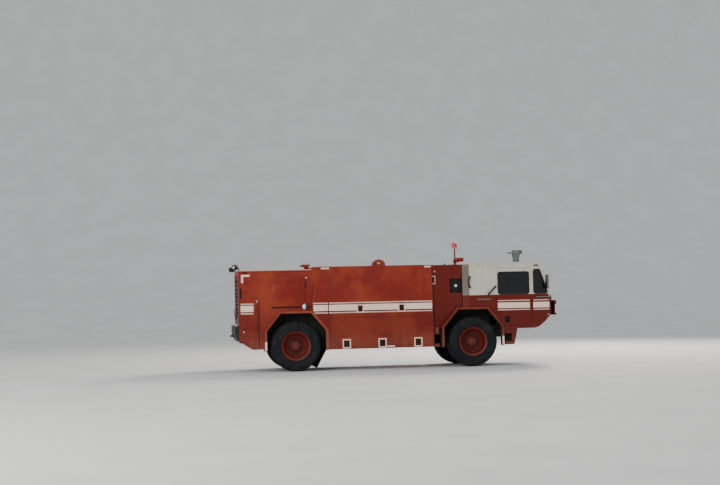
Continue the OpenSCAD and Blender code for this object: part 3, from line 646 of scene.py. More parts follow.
    # The outlet cap: a painted glint in its middle and painted shade round it
    f["outlet"] = glint_ringed_metal("outlet_cap_painted_glint", (0.8, 0.88, 1.0), (0.03, 0.024, 0.022), *OUTLET, 0.036)
    f["steel"] = bare_metal("dull_steel", (0.32, 0.31, 0.3))
    f["bright"] = bare_metal("bright_metal", (0.75, 0.74, 0.72), 0.22, 1.0, 0.1)
    f["brass"] = bare_metal("old_brass", (0.55, 0.4, 0.2), 0.35, 0.9, 0.3)
    f["tyre"] = rubber("tyre_rubber", (0.008, 0.009, 0.011), 0.035, 0.8, spec=0.2)
    f["seal"] = rubber("window_seal_rubber", (0.015, 0.015, 0.016), 0.12, 0.6, 300.0)
    f["stripe"] = reflective("stripe_cream_sheet", (1.0, 0.75, 0.62))
    f["thin_stripe"] = reflective("thin_stripe_sheet", (0.7, 0.48, 0.41))
    f["tag"] = reflective("reflective_tag", (1.0, 0.65, 0.53))
    # Near-black: painted shade in openings, holes, slots and the bore, and the splash curtain's rubber
    f["void"] = rubber("opening_shade_and_curtain_rubber", (0.006, 0.006, 0.007), 0.03, 0.8, spec=0.1)
    f["nut"] = bare_metal("wheel_nut_metal", (0.1, 0.045, 0.035), 0.6, 0.4, 0.15)
    f["red_lens"] = lamp_plastic("red_lamp_plastic", (0.42, 0.012, 0.008))
    f["beacon_lens"] = lamp_plastic("beacon_red_plastic", (0.66, 0.01, 0.012), 0.04)
    f["amber_lens"] = lamp_plastic("amber_lamp_plastic", (0.62, 0.2, 0.015))
    f["lamp_white"] = lamp_plastic("white_lamp_plastic", (0.8, 0.81, 0.78), 0.1)
    f["dash"] = rubber("dashboard_skin", (0.03, 0.029, 0.028), 0.25, 0.65, 200.0)
    f["seat_cloth"] = upholstery("seat_vinyl", (0.05, 0.042, 0.038))
    f["rusty"] = rusted("exhaust_rust", (0.16, 0.07, 0.04))
    f["mirror"] = bare_metal("mirror_silver", (0.3, 0.31, 0.33), 0.1, 1.0, 0.05)
    f["glass"] = pane("cab_window_glass", (0.042, 0.052, 0.044), spec=0.11)
    f["lens"] = pane("clear_lens_glass", (0.9, 0.92, 0.9), 0.06)


class TenderLook(bpy.types.PropertyGroup):
    red: bpy.props.FloatVectorProperty(
        name="Body red", description="Paint where it kept its colour", subtype="COLOR", size=3, min=0, max=1,
        default=(0.216, 0.014, 0.0065))
    sun_faded: bpy.props.FloatVectorProperty(
        name="Faded red", description="Paint where the sun has bleached it", subtype="COLOR", size=3, min=0, max=1,
        default=(0.318, 0.041, 0.013))
    cream: bpy.props.FloatVectorProperty(
        name="Cab cream", description="Upper cab paint", subtype="COLOR", size=3, min=0, max=1,
        default=(0.66, 0.63, 0.56))


class TenderSizes(bpy.types.PropertyGroup):
    edge: bpy.props.FloatProperty(
        name="Panel edge", description="Radius on the edges of body panels", default=0.008, min=0.001, max=0.02,
        unit="LENGTH")
    lug_depth: bpy.props.FloatProperty(
        name="Tread depth", description="Depth between the tyre's tread blocks", default=0.02, min=0.005, max=0.03,
        unit="LENGTH")
    lug_count: bpy.props.IntProperty(
        name="Tread blocks", description="Tread blocks round each tyre", default=34, min=12, max=60)
    nut_count: bpy.props.IntProperty(
        name="Wheel nuts", description="Nuts round each wheel's disc", default=10, min=5, max=16)
    seal: bpy.props.FloatProperty(
        name="Window seal", description="Thickness of the rubber round each window", default=0.014, min=0.004,
        max=0.03, unit="LENGTH")


# Stage


# Camera read from the photograph: focal length in pixels, and where its horizon and tilt put it
PHOTO_W = 720
FOCAL_PX = 1300
SENSOR_MM = 36
YAW, PITCH, ROLL = (math.radians(a) for a in (8.0, 2.7, 1.3))
EYE = (-3.073, -35.637, 1.756)
# Sweep behind the vehicle: how far back it starts, the radius of its turn and half its width
SWEEP_Y = 30.0
SWEEP_R = 30.0
SWEEP_X = 120.0
# Lights: name, place, what they face, size, power and colour
LAMPS = (
    ("key", (10, 12, 13), (0, 0, 1), 6, 3600, (1.0, 0.95, 0.88)),
    ("side", (-15, -22, 9), (0, 0, 1.4), 11, 2500, (1.0, 0.98, 0.95)),
    ("tail", (-17, -6, 7), (-2, 0, 1.4), 8, 150, (0.95, 0.97, 1.0)),
)
SKY = (0.86, 0.89, 0.94, 1)
SKY_POWER = 0.75


class TENDER_OT_stage(bpy.types.Operator):
    """Pale floor with a sweep behind, soft lights and the camera"""

    bl_idname = "tender.stage"
    bl_label = "Stage"

    def execute(self, context):
        scene = context.scene
        camera = linked("camera", bpy.data.cameras.new("camera"))
        camera.data.sensor_width = SENSOR_MM
        camera.data.lens = FOCAL_PX * SENSOR_MM / PHOTO_W
        camera.data.clip_end = 400
        level = math.cos(PITCH)
        ahead = Vector((math.sin(YAW) * level, math.cos(YAW) * level, math.sin(PITCH)))
        side = Vector((math.cos(YAW), -math.sin(YAW), 0))
        up = side.cross(ahead)
        right = math.cos(ROLL) * side - math.sin(ROLL) * up
        top = math.sin(ROLL) * side + math.cos(ROLL) * up
        turned = Matrix((right, top, -ahead)).transposed().to_4x4()
        camera.matrix_world = Matrix.Translation((EYE[0] + REAR_X, *EYE[1:])) @ turned
        scene.camera = camera
        # Flat floor, then a wide quarter turn up
        flat = np.linspace(-90, SWEEP_Y, 9)
        bend = np.linspace(0, np.pi / 2, 17)[1:]
        y = np.concatenate([flat, SWEEP_Y + SWEEP_R * np.sin(bend), [SWEEP_Y + SWEEP_R]])
        z = np.concatenate([0 * flat, SWEEP_R * (1 - np.cos(bend)), [90]])
        x = np.linspace(-SWEEP_X, SWEEP_X, 7)
        points = np.stack([np.repeat(x[:, None], len(y), 1), np.tile(y, (7, 1)), np.tile(z, (7, 1))], -1)
        n = Nodes("pale_floor")
        tone = n.mix(n.ramp(n.noise(0.6, 3.0), 0.3, 0.7), (0.74, 0.73, 0.71), (0.79, 0.78, 0.76))
        n.done(tone, 0.85)
        mesh = bpy.data.meshes.new("floor")
        mesh.from_pydata(points.reshape(-1, 3).tolist(), [], quads_of(7, len(y), False, False))
        mesh.materials.append(n.material)
        mesh.shade_smooth()
        floor = linked("floor", mesh)
        for name, spot, aim, size, power, colour in LAMPS:
            lamp = linked(name, bpy.data.lights.new(name, "AREA"))
            lamp.data.size = size
            lamp.data.energy = power
            lamp.data.color = colour
            lamp.location = spot
            lamp.rotation_euler = (Vector(aim) - Vector(spot)).to_track_quat("-Z", "Y").to_euler()
        world = bpy.data.worlds.new("studio")
        world.use_nodes = True
        world.node_tree.nodes["Background"].inputs[0].default_value = SKY
        world.node_tree.nodes["Background"].inputs[1].default_value = SKY_POWER
        scene.world = world
        return {"FINISHED"}


class TENDER_OT_paintwork(bpy.types.Operator):
    """Body panels, cab and chassis with rounded edges and weathered paint"""

    bl_idname = "tender.paintwork"
    bl_label = "Paintwork"

    def execute(self, context):
        edge = context.scene.tender_sizes.edge
        # The rounds of the body panels take the lighter edge paints: edge wear and a painted highlight
        red, cab_red_shaded = ("red", "red_worn_lit_edge"), ("cab_red_shaded", "cab_worn_lit_edge")
        # The arches take their lighter copies as painted light; the lips that look at the wheel take near-black painted
        # shade
        for node, paint in (("rear_arches", "arch_red"), ("front_arches", "front_arch_red")):
            paint_faces(dressed(node, (paint, "red_worn_lit_edge", "well"), edge), [(2, on_lip)], 0)
        # The bay and the cab's lower part take the cab's darker red, a painted shade
        for node, paint in (("rear_body", red), ("tank_body", red), ("pump_bay", cab_red_shaded), ("cab_lower", cab_red_shaded)):
            piece = dressed(node, (*paint, "well", "deep_red", "pocket", "outlet"), edge)
            # Painted shade: near-black inside the wheel wells and the engine bay
            rules = [(2, lambda *face: in_wells(*face) | in_bay(*face))]
            # On the cab: painted shade on the nose's slanted corners, and near-black painted shade underneath
            if node == "cab_lower":
                rules += [(3, on_cab_corner), (2, lambda x, y, z, ahead, out, up: (z < 1.05) & (up < -0.9))]
            # In the bay's sides: painted shade inside the pockets, and a painted glint on the outlet caps
            if node == "pump_bay":
                rules += [(4, in_recess), (5, on_outlet)]
            paint_faces(piece, rules, -1 if node == "pump_bay" else 1)
        # The bumper's ends and their rounds take the shadowed paint, a painted shade
        bumper = dressed("front_bumper", (*cab_red_shaded, "deep_red"), edge)
        paint_faces(bumper, [(2, lambda x, y, z, ahead, out, up: (y > 0.9) & (ahead < 0.7))], 2)
        # The cab top's rear corner chamfers take painted shade
        upper = dressed("cab_upper", ("cream", "cream_lit_edge", "cream_corner_shade"), edge)
        paint_faces(upper, [(2, on_rear_corner)], 1)
        dressed("roof_drum", red, 0.004)
        # The vent cap's top takes the painted sunlit highlight
        vent = dressed("roof_fittings", (*red, "sunlit_edge"), 0.004)
        paint_faces(vent, [(2, on_vent_cap)], 1)
        dressed("engine_door", ["grille_grey"] * 2, 0.002, 1)
        for node in ("rear_bumper", "floodlights"):
            dressed(node, ["black"] * 2, 0.003)
        # Painted shade inside the step boxes
        paint_faces(dressed("cab_steps", (*cab_red_shaded, "well"), 0.003), [(2, in_steps)], 1)
        # The mirrors' heads are grey and their tubes cream; the upright rails are red, the handles at the bay cream
        paint_faces(dressed("mirrors", ("tube_cream", "mirror_shell"), 0), [(1, on_head)])
        paint_faces(dressed("grab_rails", ("dark_red", "handle_cream"), 0), [(1, lambda x, *rest: x > 0)])
        axles = ("rear_axle", "front_axle", "knuckle_left", "knuckle_right")
        for node in ("chassis_frame", "drivetrain", "engine", *axles):
            dressed(node, ["chassis"] * 2, 0.004)
        # The turret's rounds take the lighter paint as a painted highlight
        for node, paint in (("turret_base", "pale"), ("turret_head", "pale"), ("turret_nozzle", "pale_worn")):
            dressed(node, (paint, "pale_worn"), 0.002)
        return {"FINISHED"}


# Shapes on the left wall


def tank_half(z):
    """Half width of the tank at a height: full below the crease, then drawn in evenly to the roof."""
    return TANK_Y - LEAN * np.clip((z - CREASE_Z) / (TANK_Z - CREASE_Z), 0, 1)


def band(plan, low, high, lift=0.002, half=None):
    """A flat strip along a path seen from above, from low to high, standing proud of the wall by lift: its four corners
    are carried along the path, and where a half-width function is given the wall leans with it."""
    plan = np.asarray(plan, float)
    ahead = np.gradient(plan, axis=0)
    ahead /= np.linalg.norm(ahead, axis=1, keepdims=True)
    normal = np.stack([-ahead[:, 1], ahead[:, 0]], -1)
    loops = []
    for off, z in ((-0.002, low), (lift, low), (lift, high), (-0.002, high)):
        xy = plan + off * normal
        if half is not None:
            xy = xy + np.array([0, half(z) - half(low)])
        loops.append(np.stack([xy[:, 0], xy[:, 1], np.full(len(xy), z)], -1))
    return np.stack(loops, 1).reshape(-1, 3), quads_of(len(plan), 4, False, True) + caps(len(plan), 4)


def strip(x0, x1, low, high, y, lift=0.002):
    """A straight band along the wall at half width y."""
    return band([(x0, y), (x1, y)], low, high, lift)


def wall_box(x0, x1, z0, z1, y, proud, sink=0.002):
    """A rectangular pad standing on a wall at half width y, with small bevelled edges."""
    centre = ((x0 + x1) / 2, y - sink, (z0 + z1) / 2)
    return plate(x1 - x0, z1 - z0, proud + sink, 0.004, centre, *WALL, edge=0.0012, per=3)


def frame_ring(width, height, radius, border, depth, centre, across, up):
    """A rectangular ring: an outer and an inner rounded loop, each at the back and at the front."""
    out = np.cross(across, up)
    loops = []
    for shrink, lift in ((0, 0), (0, depth), (border, depth), (border, 0)):
        flat = rounded_loop(width - 2 * shrink, height - 2 * shrink, max(radius - shrink * 0.5, 0.002), 5)
        loops.append(place(flat, np.asarray(centre, float) + out * lift, across, up))
    return np.concatenate(loops), quads_of(4, len(loops[0]), True, True)


def studs(centres, radius, height, axis, sides=6, dome=0.35):
    """Bolt heads or rivets: a small profile turned about the axis at each centre, six-sided for a nut."""
    profile = [(0, -0.002), (radius, -0.002), (radius, height * (1 - dome)), (radius * 0.7, height), (0, height)]
    points, faces = lathe(profile, sides, axis=axis[-1])
    if axis[0] == "-":
        points = -points
    return gather([(points + np.asarray(centre, float), faces) for centre in centres])


def circle(count, radius, start=0.0):
    """Evenly spaced places round a circle: radius*(cos a, sin a) for each angle a, the first at start steps."""
    a = (np.arange(count) + start) / count * 2 * np.pi
    return zip(radius * np.cos(a), radius * np.sin(a))


# Stripes along the sides: low and high edge, and finish
DOOR_STRIPES = ((1.552, 1.702, "stripe"), (1.74, 1.77, "thin_stripe"), (1.492, 1.522, "thin_stripe"))
NOSE_STRIPES = ((1.548, 1.7, "stripe"), (1.74, 1.77, "thin_stripe"), (1.486, 1.514, "thin_stripe"))


class TENDER_OT_doors(bpy.types.Operator):
    """Two-colour cab doors with glass, handle recess, drip rail, stripes and window seal"""

    bl_idname = "tender.doors"
    bl_label = "Doors"

    def execute(self, context):
        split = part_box("cab_upper")[0].z
        for word, side in SIDES.items():

            def put(name, shape, kind, smooth=40, slot=None):
                add(name, [moved(shape, flip=(1, side, 1))], kind, smooth, word + "_door", slot)

            piece = dressed("door_" + word, ["cab_red_shaded"], 0.004)
            shape = bmesh.new()
            shape.from_mesh(piece.data)
            everything = shape.verts[:] + shape.edges[:] + shape.faces[:]
            bmesh.ops.bisect_plane(shape, geom=everything, plane_co=(0, 0, split), plane_no=(0, 0, 1))
            piece.data.materials.append(FINISH["cream"])
            for face in shape.faces:
                face.material_index = int(face.calc_center_median().z > split)
            shape.to_mesh(piece.data)
            shape.free()
            piece.modifiers["edge"].material = -1
            low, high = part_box("door_glass_" + word)
            x0, x1, z1 = low.x, high.x, high.z
            spot = ((x0 + x1) / 2, CAB_Y + 0.001, (low.z + z1) / 2)
            seal = place(rounded_loop(x1 - x0, z1 - low.z, 0.06, 8), spot, (1, 0, 0), (0, 0, 1))
            put("door_seal_" + word, tube(seal, 0.013, 10, True), "seal", 40, "cab_trim")
            dressed("door_glass_" + word, ["glass"], 0).data.shade_flat()
            # Handle recess: a near-black dish of painted shade behind a rim, with a bar across it
            x, y, z = x0 + 0.232, CAB_Y - 0.001, 1.243
            rim = frame_ring(0.15, 0.196, 0.03, 0.012, 0.006, (x, y, z), *WALL)
            put("door_recess_rim_" + word, rim, "cab_red_shaded")
            put("door_recess_" + word, plate(0.13, 0.176, 0.002, 0.025, (x, y, z), *WALL, edge=0.0005), "void")
            bar = [(x + a, y + b, z + 0.03) for a, b in ((-0.045, 0), (-0.045, 0.016), (0.045, 0.016), (0.045, 0))]
            put("door_pull_" + word, tube(smooth_path(bar, 5, 0.012), 0.007, 10), "black", 50)
            rail = wall_box(x0 - 0.02, x1 - 0.01, z1 + 0.085, z1 + 0.097, CAB_Y, 0.01)
            put("door_drip_rail_" + word, rail, "cream")
            for k, (z_low, z_high, kind) in enumerate(DOOR_STRIPES):
                put(f"door_stripe_{word}_{k}", strip(x0 - 0.018, x1 + 0.01, z_low, z_high, CAB_Y), kind, 0)
        return {"FINISHED"}


class TENDER_OT_tyres(bpy.types.Operator):
    """Tyres with chevron blocks and ribbed walls"""

    bl_idname = "tender.tyres"
    bl_label = "Tyres"

    def execute(self, context):
        sizes = context.scene.tender_sizes
        for end, x in (("front", FRONT_X), ("rear", REAR_X)):
            for word, side in SIDES.items():
                node = f"tyre_{end}_{word}"
                shape = moved(tyre_surface(sizes.lug_count, sizes.lug_depth, side), (x, side * WHEEL_Y, AXLE_Z))
                piece = add(node + "_tread", [shape], "tyre", 40, f"{end}_{word}_wheel", "tyre_black")
                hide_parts(node)
        return {"FINISHED"}


# Wheel profiles: radius, distance out from the wheel's middle plane
RIM = [
    (0.327, -0.17), (0.327, 0.06), (0.329, 0.09), (0.326, 0.12), (0.331, 0.15), (0.345, 0.168), (0.349, 0.176),
    (0.366, 0.184), (0.376, 0.197), (0.384, 0.204), (0.39, 0.205), (0.3905, 0.198), (0.386, 0.18), (0.374, 0.171),
    (0.347, 0.166), (0.345, 0.15), (0.345, -0.168), (0.374, -0.188), (0.386, -0.2), (0.39, -0.205), (0.384, -0.207),
    (0.372, -0.204),
]
DISC = [
    (0.046, -0.002), (0.215, -0.004), (0.3, 0.008), (0.336, 0.02), (0.3365, 0.044), (0.308, 0.041), (0.268, 0.0315),
    (0.235, 0.0235), (0.215, 0.023), (0.15, 0.024), (0.132, 0.027), (0.128, 0.035), (0.046, 0.035),
]
HUB = [
    (0.046, 0.03), (0.124, 0.03), (0.126, 0.036), (0.121, 0.056), (0.112, 0.08), (0.1, 0.088), (0.062, 0.09),
    (0.058, 0.1), (0.05, 0.106), (0.0, 0.108), (0.0, 0.05), (0.046, 0.049),
]
GROOVE_SHADOW = [(0.186, 0.02), (0.214, 0.02), (0.2145, 0.0242), (0.2135, 0.0248), (0.1865, 0.0252), (0.1855, 0.0246)]
DISC_FACE = 0.024
HUB_FACE = 0.088
HOLE_FACE = 0.0335
NUT_RING = 0.168
HUB_BOLT_RING = 0.075


class TENDER_OT_wheels(bpy.types.Operator):
    """Disc wheels with lock ring, hand holes, nuts, hub and valve"""

    bl_idname = "tender.wheels"
    bl_label = "Wheels"

    def execute(self, context):
        nut_ring = circle(context.scene.tender_sizes.nut_count, NUT_RING)
        nuts = studs([(x, DISC_FACE, z) for x, z in nut_ring], 0.019, 0.026, "y")
        bolts = studs([(x, HUB_FACE, z) for x, z in circle(8, HUB_BOLT_RING, 0.5)], 0.009, 0.012, "y")
        # The valve's hand hole at the disc's foot, drawn as a near-black plate of painted shade, with a raised edge, on
        # the disc's slope
        hole = (0, HOLE_FACE, -0.28), (-1, 0, 0), (0, 0.231, -0.973)
        valve = smooth_path([(0.0, 0.03, -0.284), (0.0, 0.08, -0.288), (0.0, 0.112, -0.28)], 6, 0.02)
        shapes = (
            ("rim", lathe(RIM, 96), "rim_red_lit", 35, "wheel_red"),
            ("disc", lathe(DISC, 96), "wheel_red", 35, "wheel_red"),
            ("hub", lathe(HUB, 96), "hub_red_lit", 35, "wheel_red"),
            ("nuts", nuts, "nut", 30, None),
            ("hub_bolts", bolts, "nut", 30, None),
            ("holes", plate(0.052, 0.034, 0.003, 0.0165, *hole, 0.0006), "void", 40, None),
            # A thin ring in shadowed paint on the disc: a painted shadow at the disc's step
            ("groove", lathe(GROOVE_SHADOW, 96), "deep_red", 40, None),
            ("hole_rims", frame_ring(0.064, 0.046, 0.023, 0.006, 0.006, *hole), "wheel_red", 40, None),
            ("valve", tube(valve, 0.005, 10), "brass", 40, None),
        )
        for end, x in (("front", FRONT_X), ("rear", REAR_X)):
            for word, side in SIDES.items():
                body, node = f"{end}_{word}_wheel", f"wheel_{end}_{word}"
                for name, shape, kind, smooth, slot in shapes:
                    shape = moved(shape, (x, side * WHEEL_Y, AXLE_Z), (1, side, 1))
                    piece = add(f"{node}_{name}", [shape], kind, smooth, body, slot)
                    if name == "rim":
                        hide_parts(node)
                        # The rim's barrel takes the disc's darker red as painted shade
                        piece.data.materials.append(FINISH["wheel_red"])
                        paint_faces(piece, [(1, lambda x, y, *rest: y < WHEEL_Y + 0.158)])
                    elif name == "disc":
                        bevel(piece, 0.003, 2, 40)
        return {"FINISHED"}


# Framed squares: x of each on the stripe and of each below it, and half the gap that the band leaves for one
STRIPE_SQUARES = (-1.006, 0.112)
LOW_SQUARES = (-1.389, -0.425, 0.544)
SQUARE_REACH = 0.095
# Ends of the short stripes on the housing and at the nose
TAIL_STRIPE = (-4.184, -3.846)
NOSE_STRIPE = (3.757, 4.205)


class TENDER_OT_stripes(bpy.types.Operator):
    """Cream stripes, reflective tags and framed squares along the sides"""

    bl_idname = "tender.stripes"
    bl_label = "Stripes"

    def execute(self, context):
        seam, gap, end = -1.861, 0.014, 0.943
        inner = [seam - gap, seam + gap]
        squares = [x + reach for x in STRIPE_SQUARES for reach in (-SQUARE_REACH, SQUARE_REACH)]
        rows = (
            ("band", [-2.262, *inner, *squares, end], 1.585, 1.748, TANK_Y, "stripe"),
            ("high_line", [-2.272, *inner, end], 1.774, 1.808, TANK_Y, "thin_stripe"),
            ("low_line", [-2.235, *inner, *squares, end], 1.52, 1.552, TANK_Y, "thin_stripe"),
            ("tail_band", TAIL_STRIPE, 1.604, 1.77, HOUSING_Y, "stripe"),
            ("tail_high_line", TAIL_STRIPE, 1.792, 1.828, HOUSING_Y, "thin_stripe"),
            ("tail_low_line", TAIL_STRIPE, 1.542, 1.578, HOUSING_Y, "thin_stripe"),
        )
        for name, ends, low, high, y, kind in rows:
            runs = [strip(a, b, low, high, y) for a, b in zip(ends[::2], ends[1::2])]
            pair("side_stripe_" + name, runs, kind, 0)
        for k, (low, high, kind) in enumerate(NOSE_STRIPES):
            pair(f"nose_stripe_{k}", [strip(*NOSE_STRIPE, low, high, CAB_Y)], kind, 0)
        # Seams in the gaps beside the broad band, drawn as lines of painted shadow
        rows = [(-2.27, end, z, TANK_Y) for z in (1.761, 1.569)]
        rows += [(*TAIL_STRIPE, z, HOUSING_Y) for z in (1.781, 1.591)]
        pair("stripe_seams", [strip(a, b, z - 0.009, z + 0.009, y) for a, b, z, y in rows], "deep_red", 0)
        # Framed squares: x, z, width, height and border
        table = [(x, 1.631, 0.185, 0.222, 0.029) for x in STRIPE_SQUARES]
        table += [(x, 0.703, 0.222, 0.25, 0.033) for x in LOW_SQUARES]
        frames, cores = [], []
        for x, z, width, height, border in table:
            spot, inside = (x, TANK_Y - 0.001, z), 0.004 - 2 * border
            frames.append(frame_ring(width, height, 0.006, border, 0.0032, spot, *WALL))
            cores.append(plate(width + inside, height + inside, 0.0022, 0.004, spot, *WALL, edge=0.0004, per=3))
        pair("square_frames", frames, "tag", 0)
        pair("square_cores", cores, "deep_red", 0)
        # Tags: rectangles on the walls, each x0, x1, z0, z1 and half width
        tags = (
            (-4.162, -3.937, 2.537, 2.59, HOUSING_Y), (-4.162, -4.106, 2.372, 2.54, HOUSING_Y),
            (-0.3, -0.094, 0.591, 0.627, TANK_Y), (-3.562, -3.509, 0.572, 0.806, TANK_Y),
            (2.859, 2.911, 0.57, 0.802, TANK_Y), (1.035, 1.07, 2.57, 2.592, BAY_Y),
        )
        pair("reflective_tags", [strip(*tag, 0.003) for tag in tags], "tag", 0)
        y = tank_half(2.7)
        dashes = [band([(a, y), (b, y)], 2.7, 2.742, 0.003, tank_half) for a, b in ((-2.033, -1.815), (0.768, 0.952))]
        pair("roof_edge_dashes", dashes, "tag", 0)
        # Tags on the bumper's slanted ends
        slant = [(FRONT_X + 2.303, CAB_Y - 0.008), (FRONT_X + 2.356, CAB_Y - 0.061)]
        pair("bumper_tags", [band(slant, 1.39, 1.625, 0.003)], "tag", 0)
        return {"FINISHED"}


class TENDER_OT_panels(bpy.types.Operator):
    """Seams, panel doors, hinges, latches, rivets, vents and small fittings of the body sides and roof"""

    bl_idname = "tender.panels"
    bl_label = "Panels"

    def execute(self, context):
        # Seams, raised strips painted as shadow lines: x or ends, z or ends, half width of the wall and width of the
        # line
        upright = (
            (-1.861, 0.66, 1.812, TANK_Y, 0.009), (-3.69, 0.62, 1.9, HOUSING_Y, 0.012),
            (2.7, 1.62, 1.915, CAB_Y, 0.006),
        )
        level = (
            (-2.26, 0.96, 1.393, TANK_Y, 0.006), (-1.87, 0.96, 0.668, TANK_Y, 0.005),
            (-4.23, -3.57, 0.932, HOUSING_Y, 0.008), (-4.23, -2.26, 2.655, HOUSING_Y, 0.008),
            (0.97, 1.79, 1.656, BAY_Y, 0.012), (0.97, 1.79, 2.7, BAY_Y, 0.006), (-3.37, -2.34, 1.7, HOUSING_Y, 0.06),
            (1.99, 2.74, 1.914, CAB_Y, 0.008),
        )
        seams = [strip(x - w / 2, x + w / 2, low, high, y, 0.0012) for x, low, high, y, w in upright]
        seams += [strip(a, b, z - w / 2, z + w / 2, y, 0.0012) for a, b, z, y, w in level]
        pair("panel_seams", seams, "seam", 0)
        # Pads on the walls: x0, x1, z0, z1, half width and how proud they stand
        pads = {
            "access_panels": ("red", (
                (-3.35, -2.452, 1.8, 2.335, HOUSING_Y, 0.007), (-3.14, -2.44, 2.372, 2.512, HOUSING_Y, 0.009),
                (-3.372, -2.338, 1.735, 1.76, HOUSING_Y, 0.03),
            )),
            "bay_panels": ("cab_red_shaded", ((1.0, 1.36, 1.7, 2.2, BAY_Y, 0.006), (1.0, 1.36, 1.13, 1.62, BAY_Y, 0.006))),
            # A thin pad along the housing's top edge carries the painted sunlit highlight
            "housing_edge_sunlit_line": ("sunlit_edge", ((-4.232, -2.275, 2.686, 2.703, HOUSING_Y, 0.004),)),
            "vent_slats": ("dark_red", [(-4.106, -4.0, z, z + 0.006, HOUSING_Y, 0.008) for z in (2.62, 2.632, 2.644)]),
            # Lower column of the bay: a pale strip over the pocket, its ledge and the sill below, in the arches'
            # lighter paint as painted light
            "bay_column": ("arch_red", (
                (1.044, 1.138, 0.89, 1.078, BAY_Y, 0.006), (1.044, 1.198, 1.078, 1.088, BAY_Y, 0.018),
                (0.972, 1.147, 0.562, 0.6, BAY_Y, 0.008),
            )),
        }
        for name, (kind, rows) in pads.items():
            pair(name, [wall_box(*row) for row in rows], kind)
        # Near-black strips of painted shade: a vent, three slots and a hole, the shadow gap between bay and cab, and a
        # recess beside the bay's lower column
        dark = (
            (-4.108, -3.998, 2.614, 2.654, HOUSING_Y), (-4.197, -4.16, 1.959, 2.229, HOUSING_Y),
            (-2.474, -2.448, 2.215, 2.365, HOUSING_Y + 0.007), (3.798, 3.928, 2.68, 2.716, CAB_Y),
            (-4.098, -4.062, 1.148, 1.186, HOUSING_Y), (1.788, 1.808, 1.662, 2.752, BAY_Y),
            (1.147, 1.2, 0.57, 1.078, BAY_Y),
        )
        pair("painted_shade_slots", [strip(*row, 0.003) for row in dark], "void", 0)
        rivets = [(x, HOUSING_Y, 2.68) for x in np.arange(-4.2, -2.25, 0.075)]
        rivets += [(x, HOUSING_Y + 0.007, z) for x in np.arange(-3.32, -2.46, 0.12) for z in (1.822, 2.313)]
        rivets += [(-4.213, HOUSING_Y, z) for z in np.arange(0.97, 2.64, 0.075)]
        rivets += [(x, BAY_Y, 2.728) for x in np.arange(1.0, 1.76, 0.07)]
        rivets += [(x, TANK_Y, z) for x in (-1.875, -1.847) for z in np.arange(0.72, 1.5, 0.07)]
        rivets += [(x, CAB_Y, z) for z in (1.902, 1.94) for x in np.arange(2.02, 2.7, 0.07)]
        pair("rivets", [studs(rivets, 0.006, 0.0035, "y", 8, 0.5)], "red", 50)
        hinges = []
        y = HOUSING_Y + 0.012
        for x in (-3.23, -2.9, -2.57):
            hinges.append(wall_box(x - 0.035, x + 0.035, 2.336, 2.368, HOUSING_Y, 0.006))
            hinges.append(tube([(x - 0.035, y, 2.342), (x + 0.035, y, 2.342)], 0.007, 10))
        y = BAY_Y + 0.008
        for z in (1.2, 1.52, 1.78, 2.12):
            hinges.append(tube([(0.993, y, z - 0.035), (0.993, y, z + 0.035)], 0.007, 10))
        pair("panel_hinges", hinges, "red")
        latches = [
            plate(0.06, 0.038, 0.018, 0.015, (-2.434, HOUSING_Y + 0.006, 2.482), *WALL),
            plate(0.045, 0.045, 0.014, 0.022, (-4.105, HOUSING_Y, 1.074), *WALL),
        ]
        pair("panel_latches", latches, "handle_cream")
        # Round filler cap in front of the shelf, with a bar across it, its metal painted with a highlight on one half
        # and shade on the other
        cap = [
            (0, 0.0), (0.079, 0.0), (0.079, 0.01), (0.072, 0.016), (0.07, 0.034), (0.064, 0.046), (0.045, 0.053),
            (0.0, 0.056),
        ]
        x, z = FILLER
        bar = plate(0.018, 0.11, 0.014, 0.006, (x, HOUSING_Y + 0.052, z), *WALL)
        pair("filler_caps", [lathe(cap, 48, (x, HOUSING_Y, z)), bar], "cap_half_lit")
        # Knobs on the upright rails and a small round marker near the nose
        knob = [(0, -0.05), (0.0165, -0.045), (0.0175, 0.005), (0.016, 0.018), (0.01, 0.024), (0, 0.025)]
        marker = [(0, 0), (0.02, 0), (0.02, 0.005), (0.014, 0.01), (0, 0.012)]
        knobs = [
            lathe(knob, 24, (REAR_X - 1.02, HOUSING_Y + 0.06, 1.888), "z"), lathe(marker, 24, (4.174, CAB_Y, 1.357)),
        ]
        pair("pale_knobs", knobs, "handle_cream")
        knob = [(0, 0), (0.02, 0), (0.02, 0.03), (0.014, 0.042), (0, 0.044)]
        pair("bay_roof_knobs", [lathe(knob, 24, (1.35, 1.08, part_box("pump_bay")[1].z - 0.002), "z")], "cab_red_shaded")
        pair("blank_plates", [plate(0.385, 0.048, 0.006, 0.006, (2.387, CAB_Y, 1.802), *WALL)], "badge")
        return {"FINISHED"}


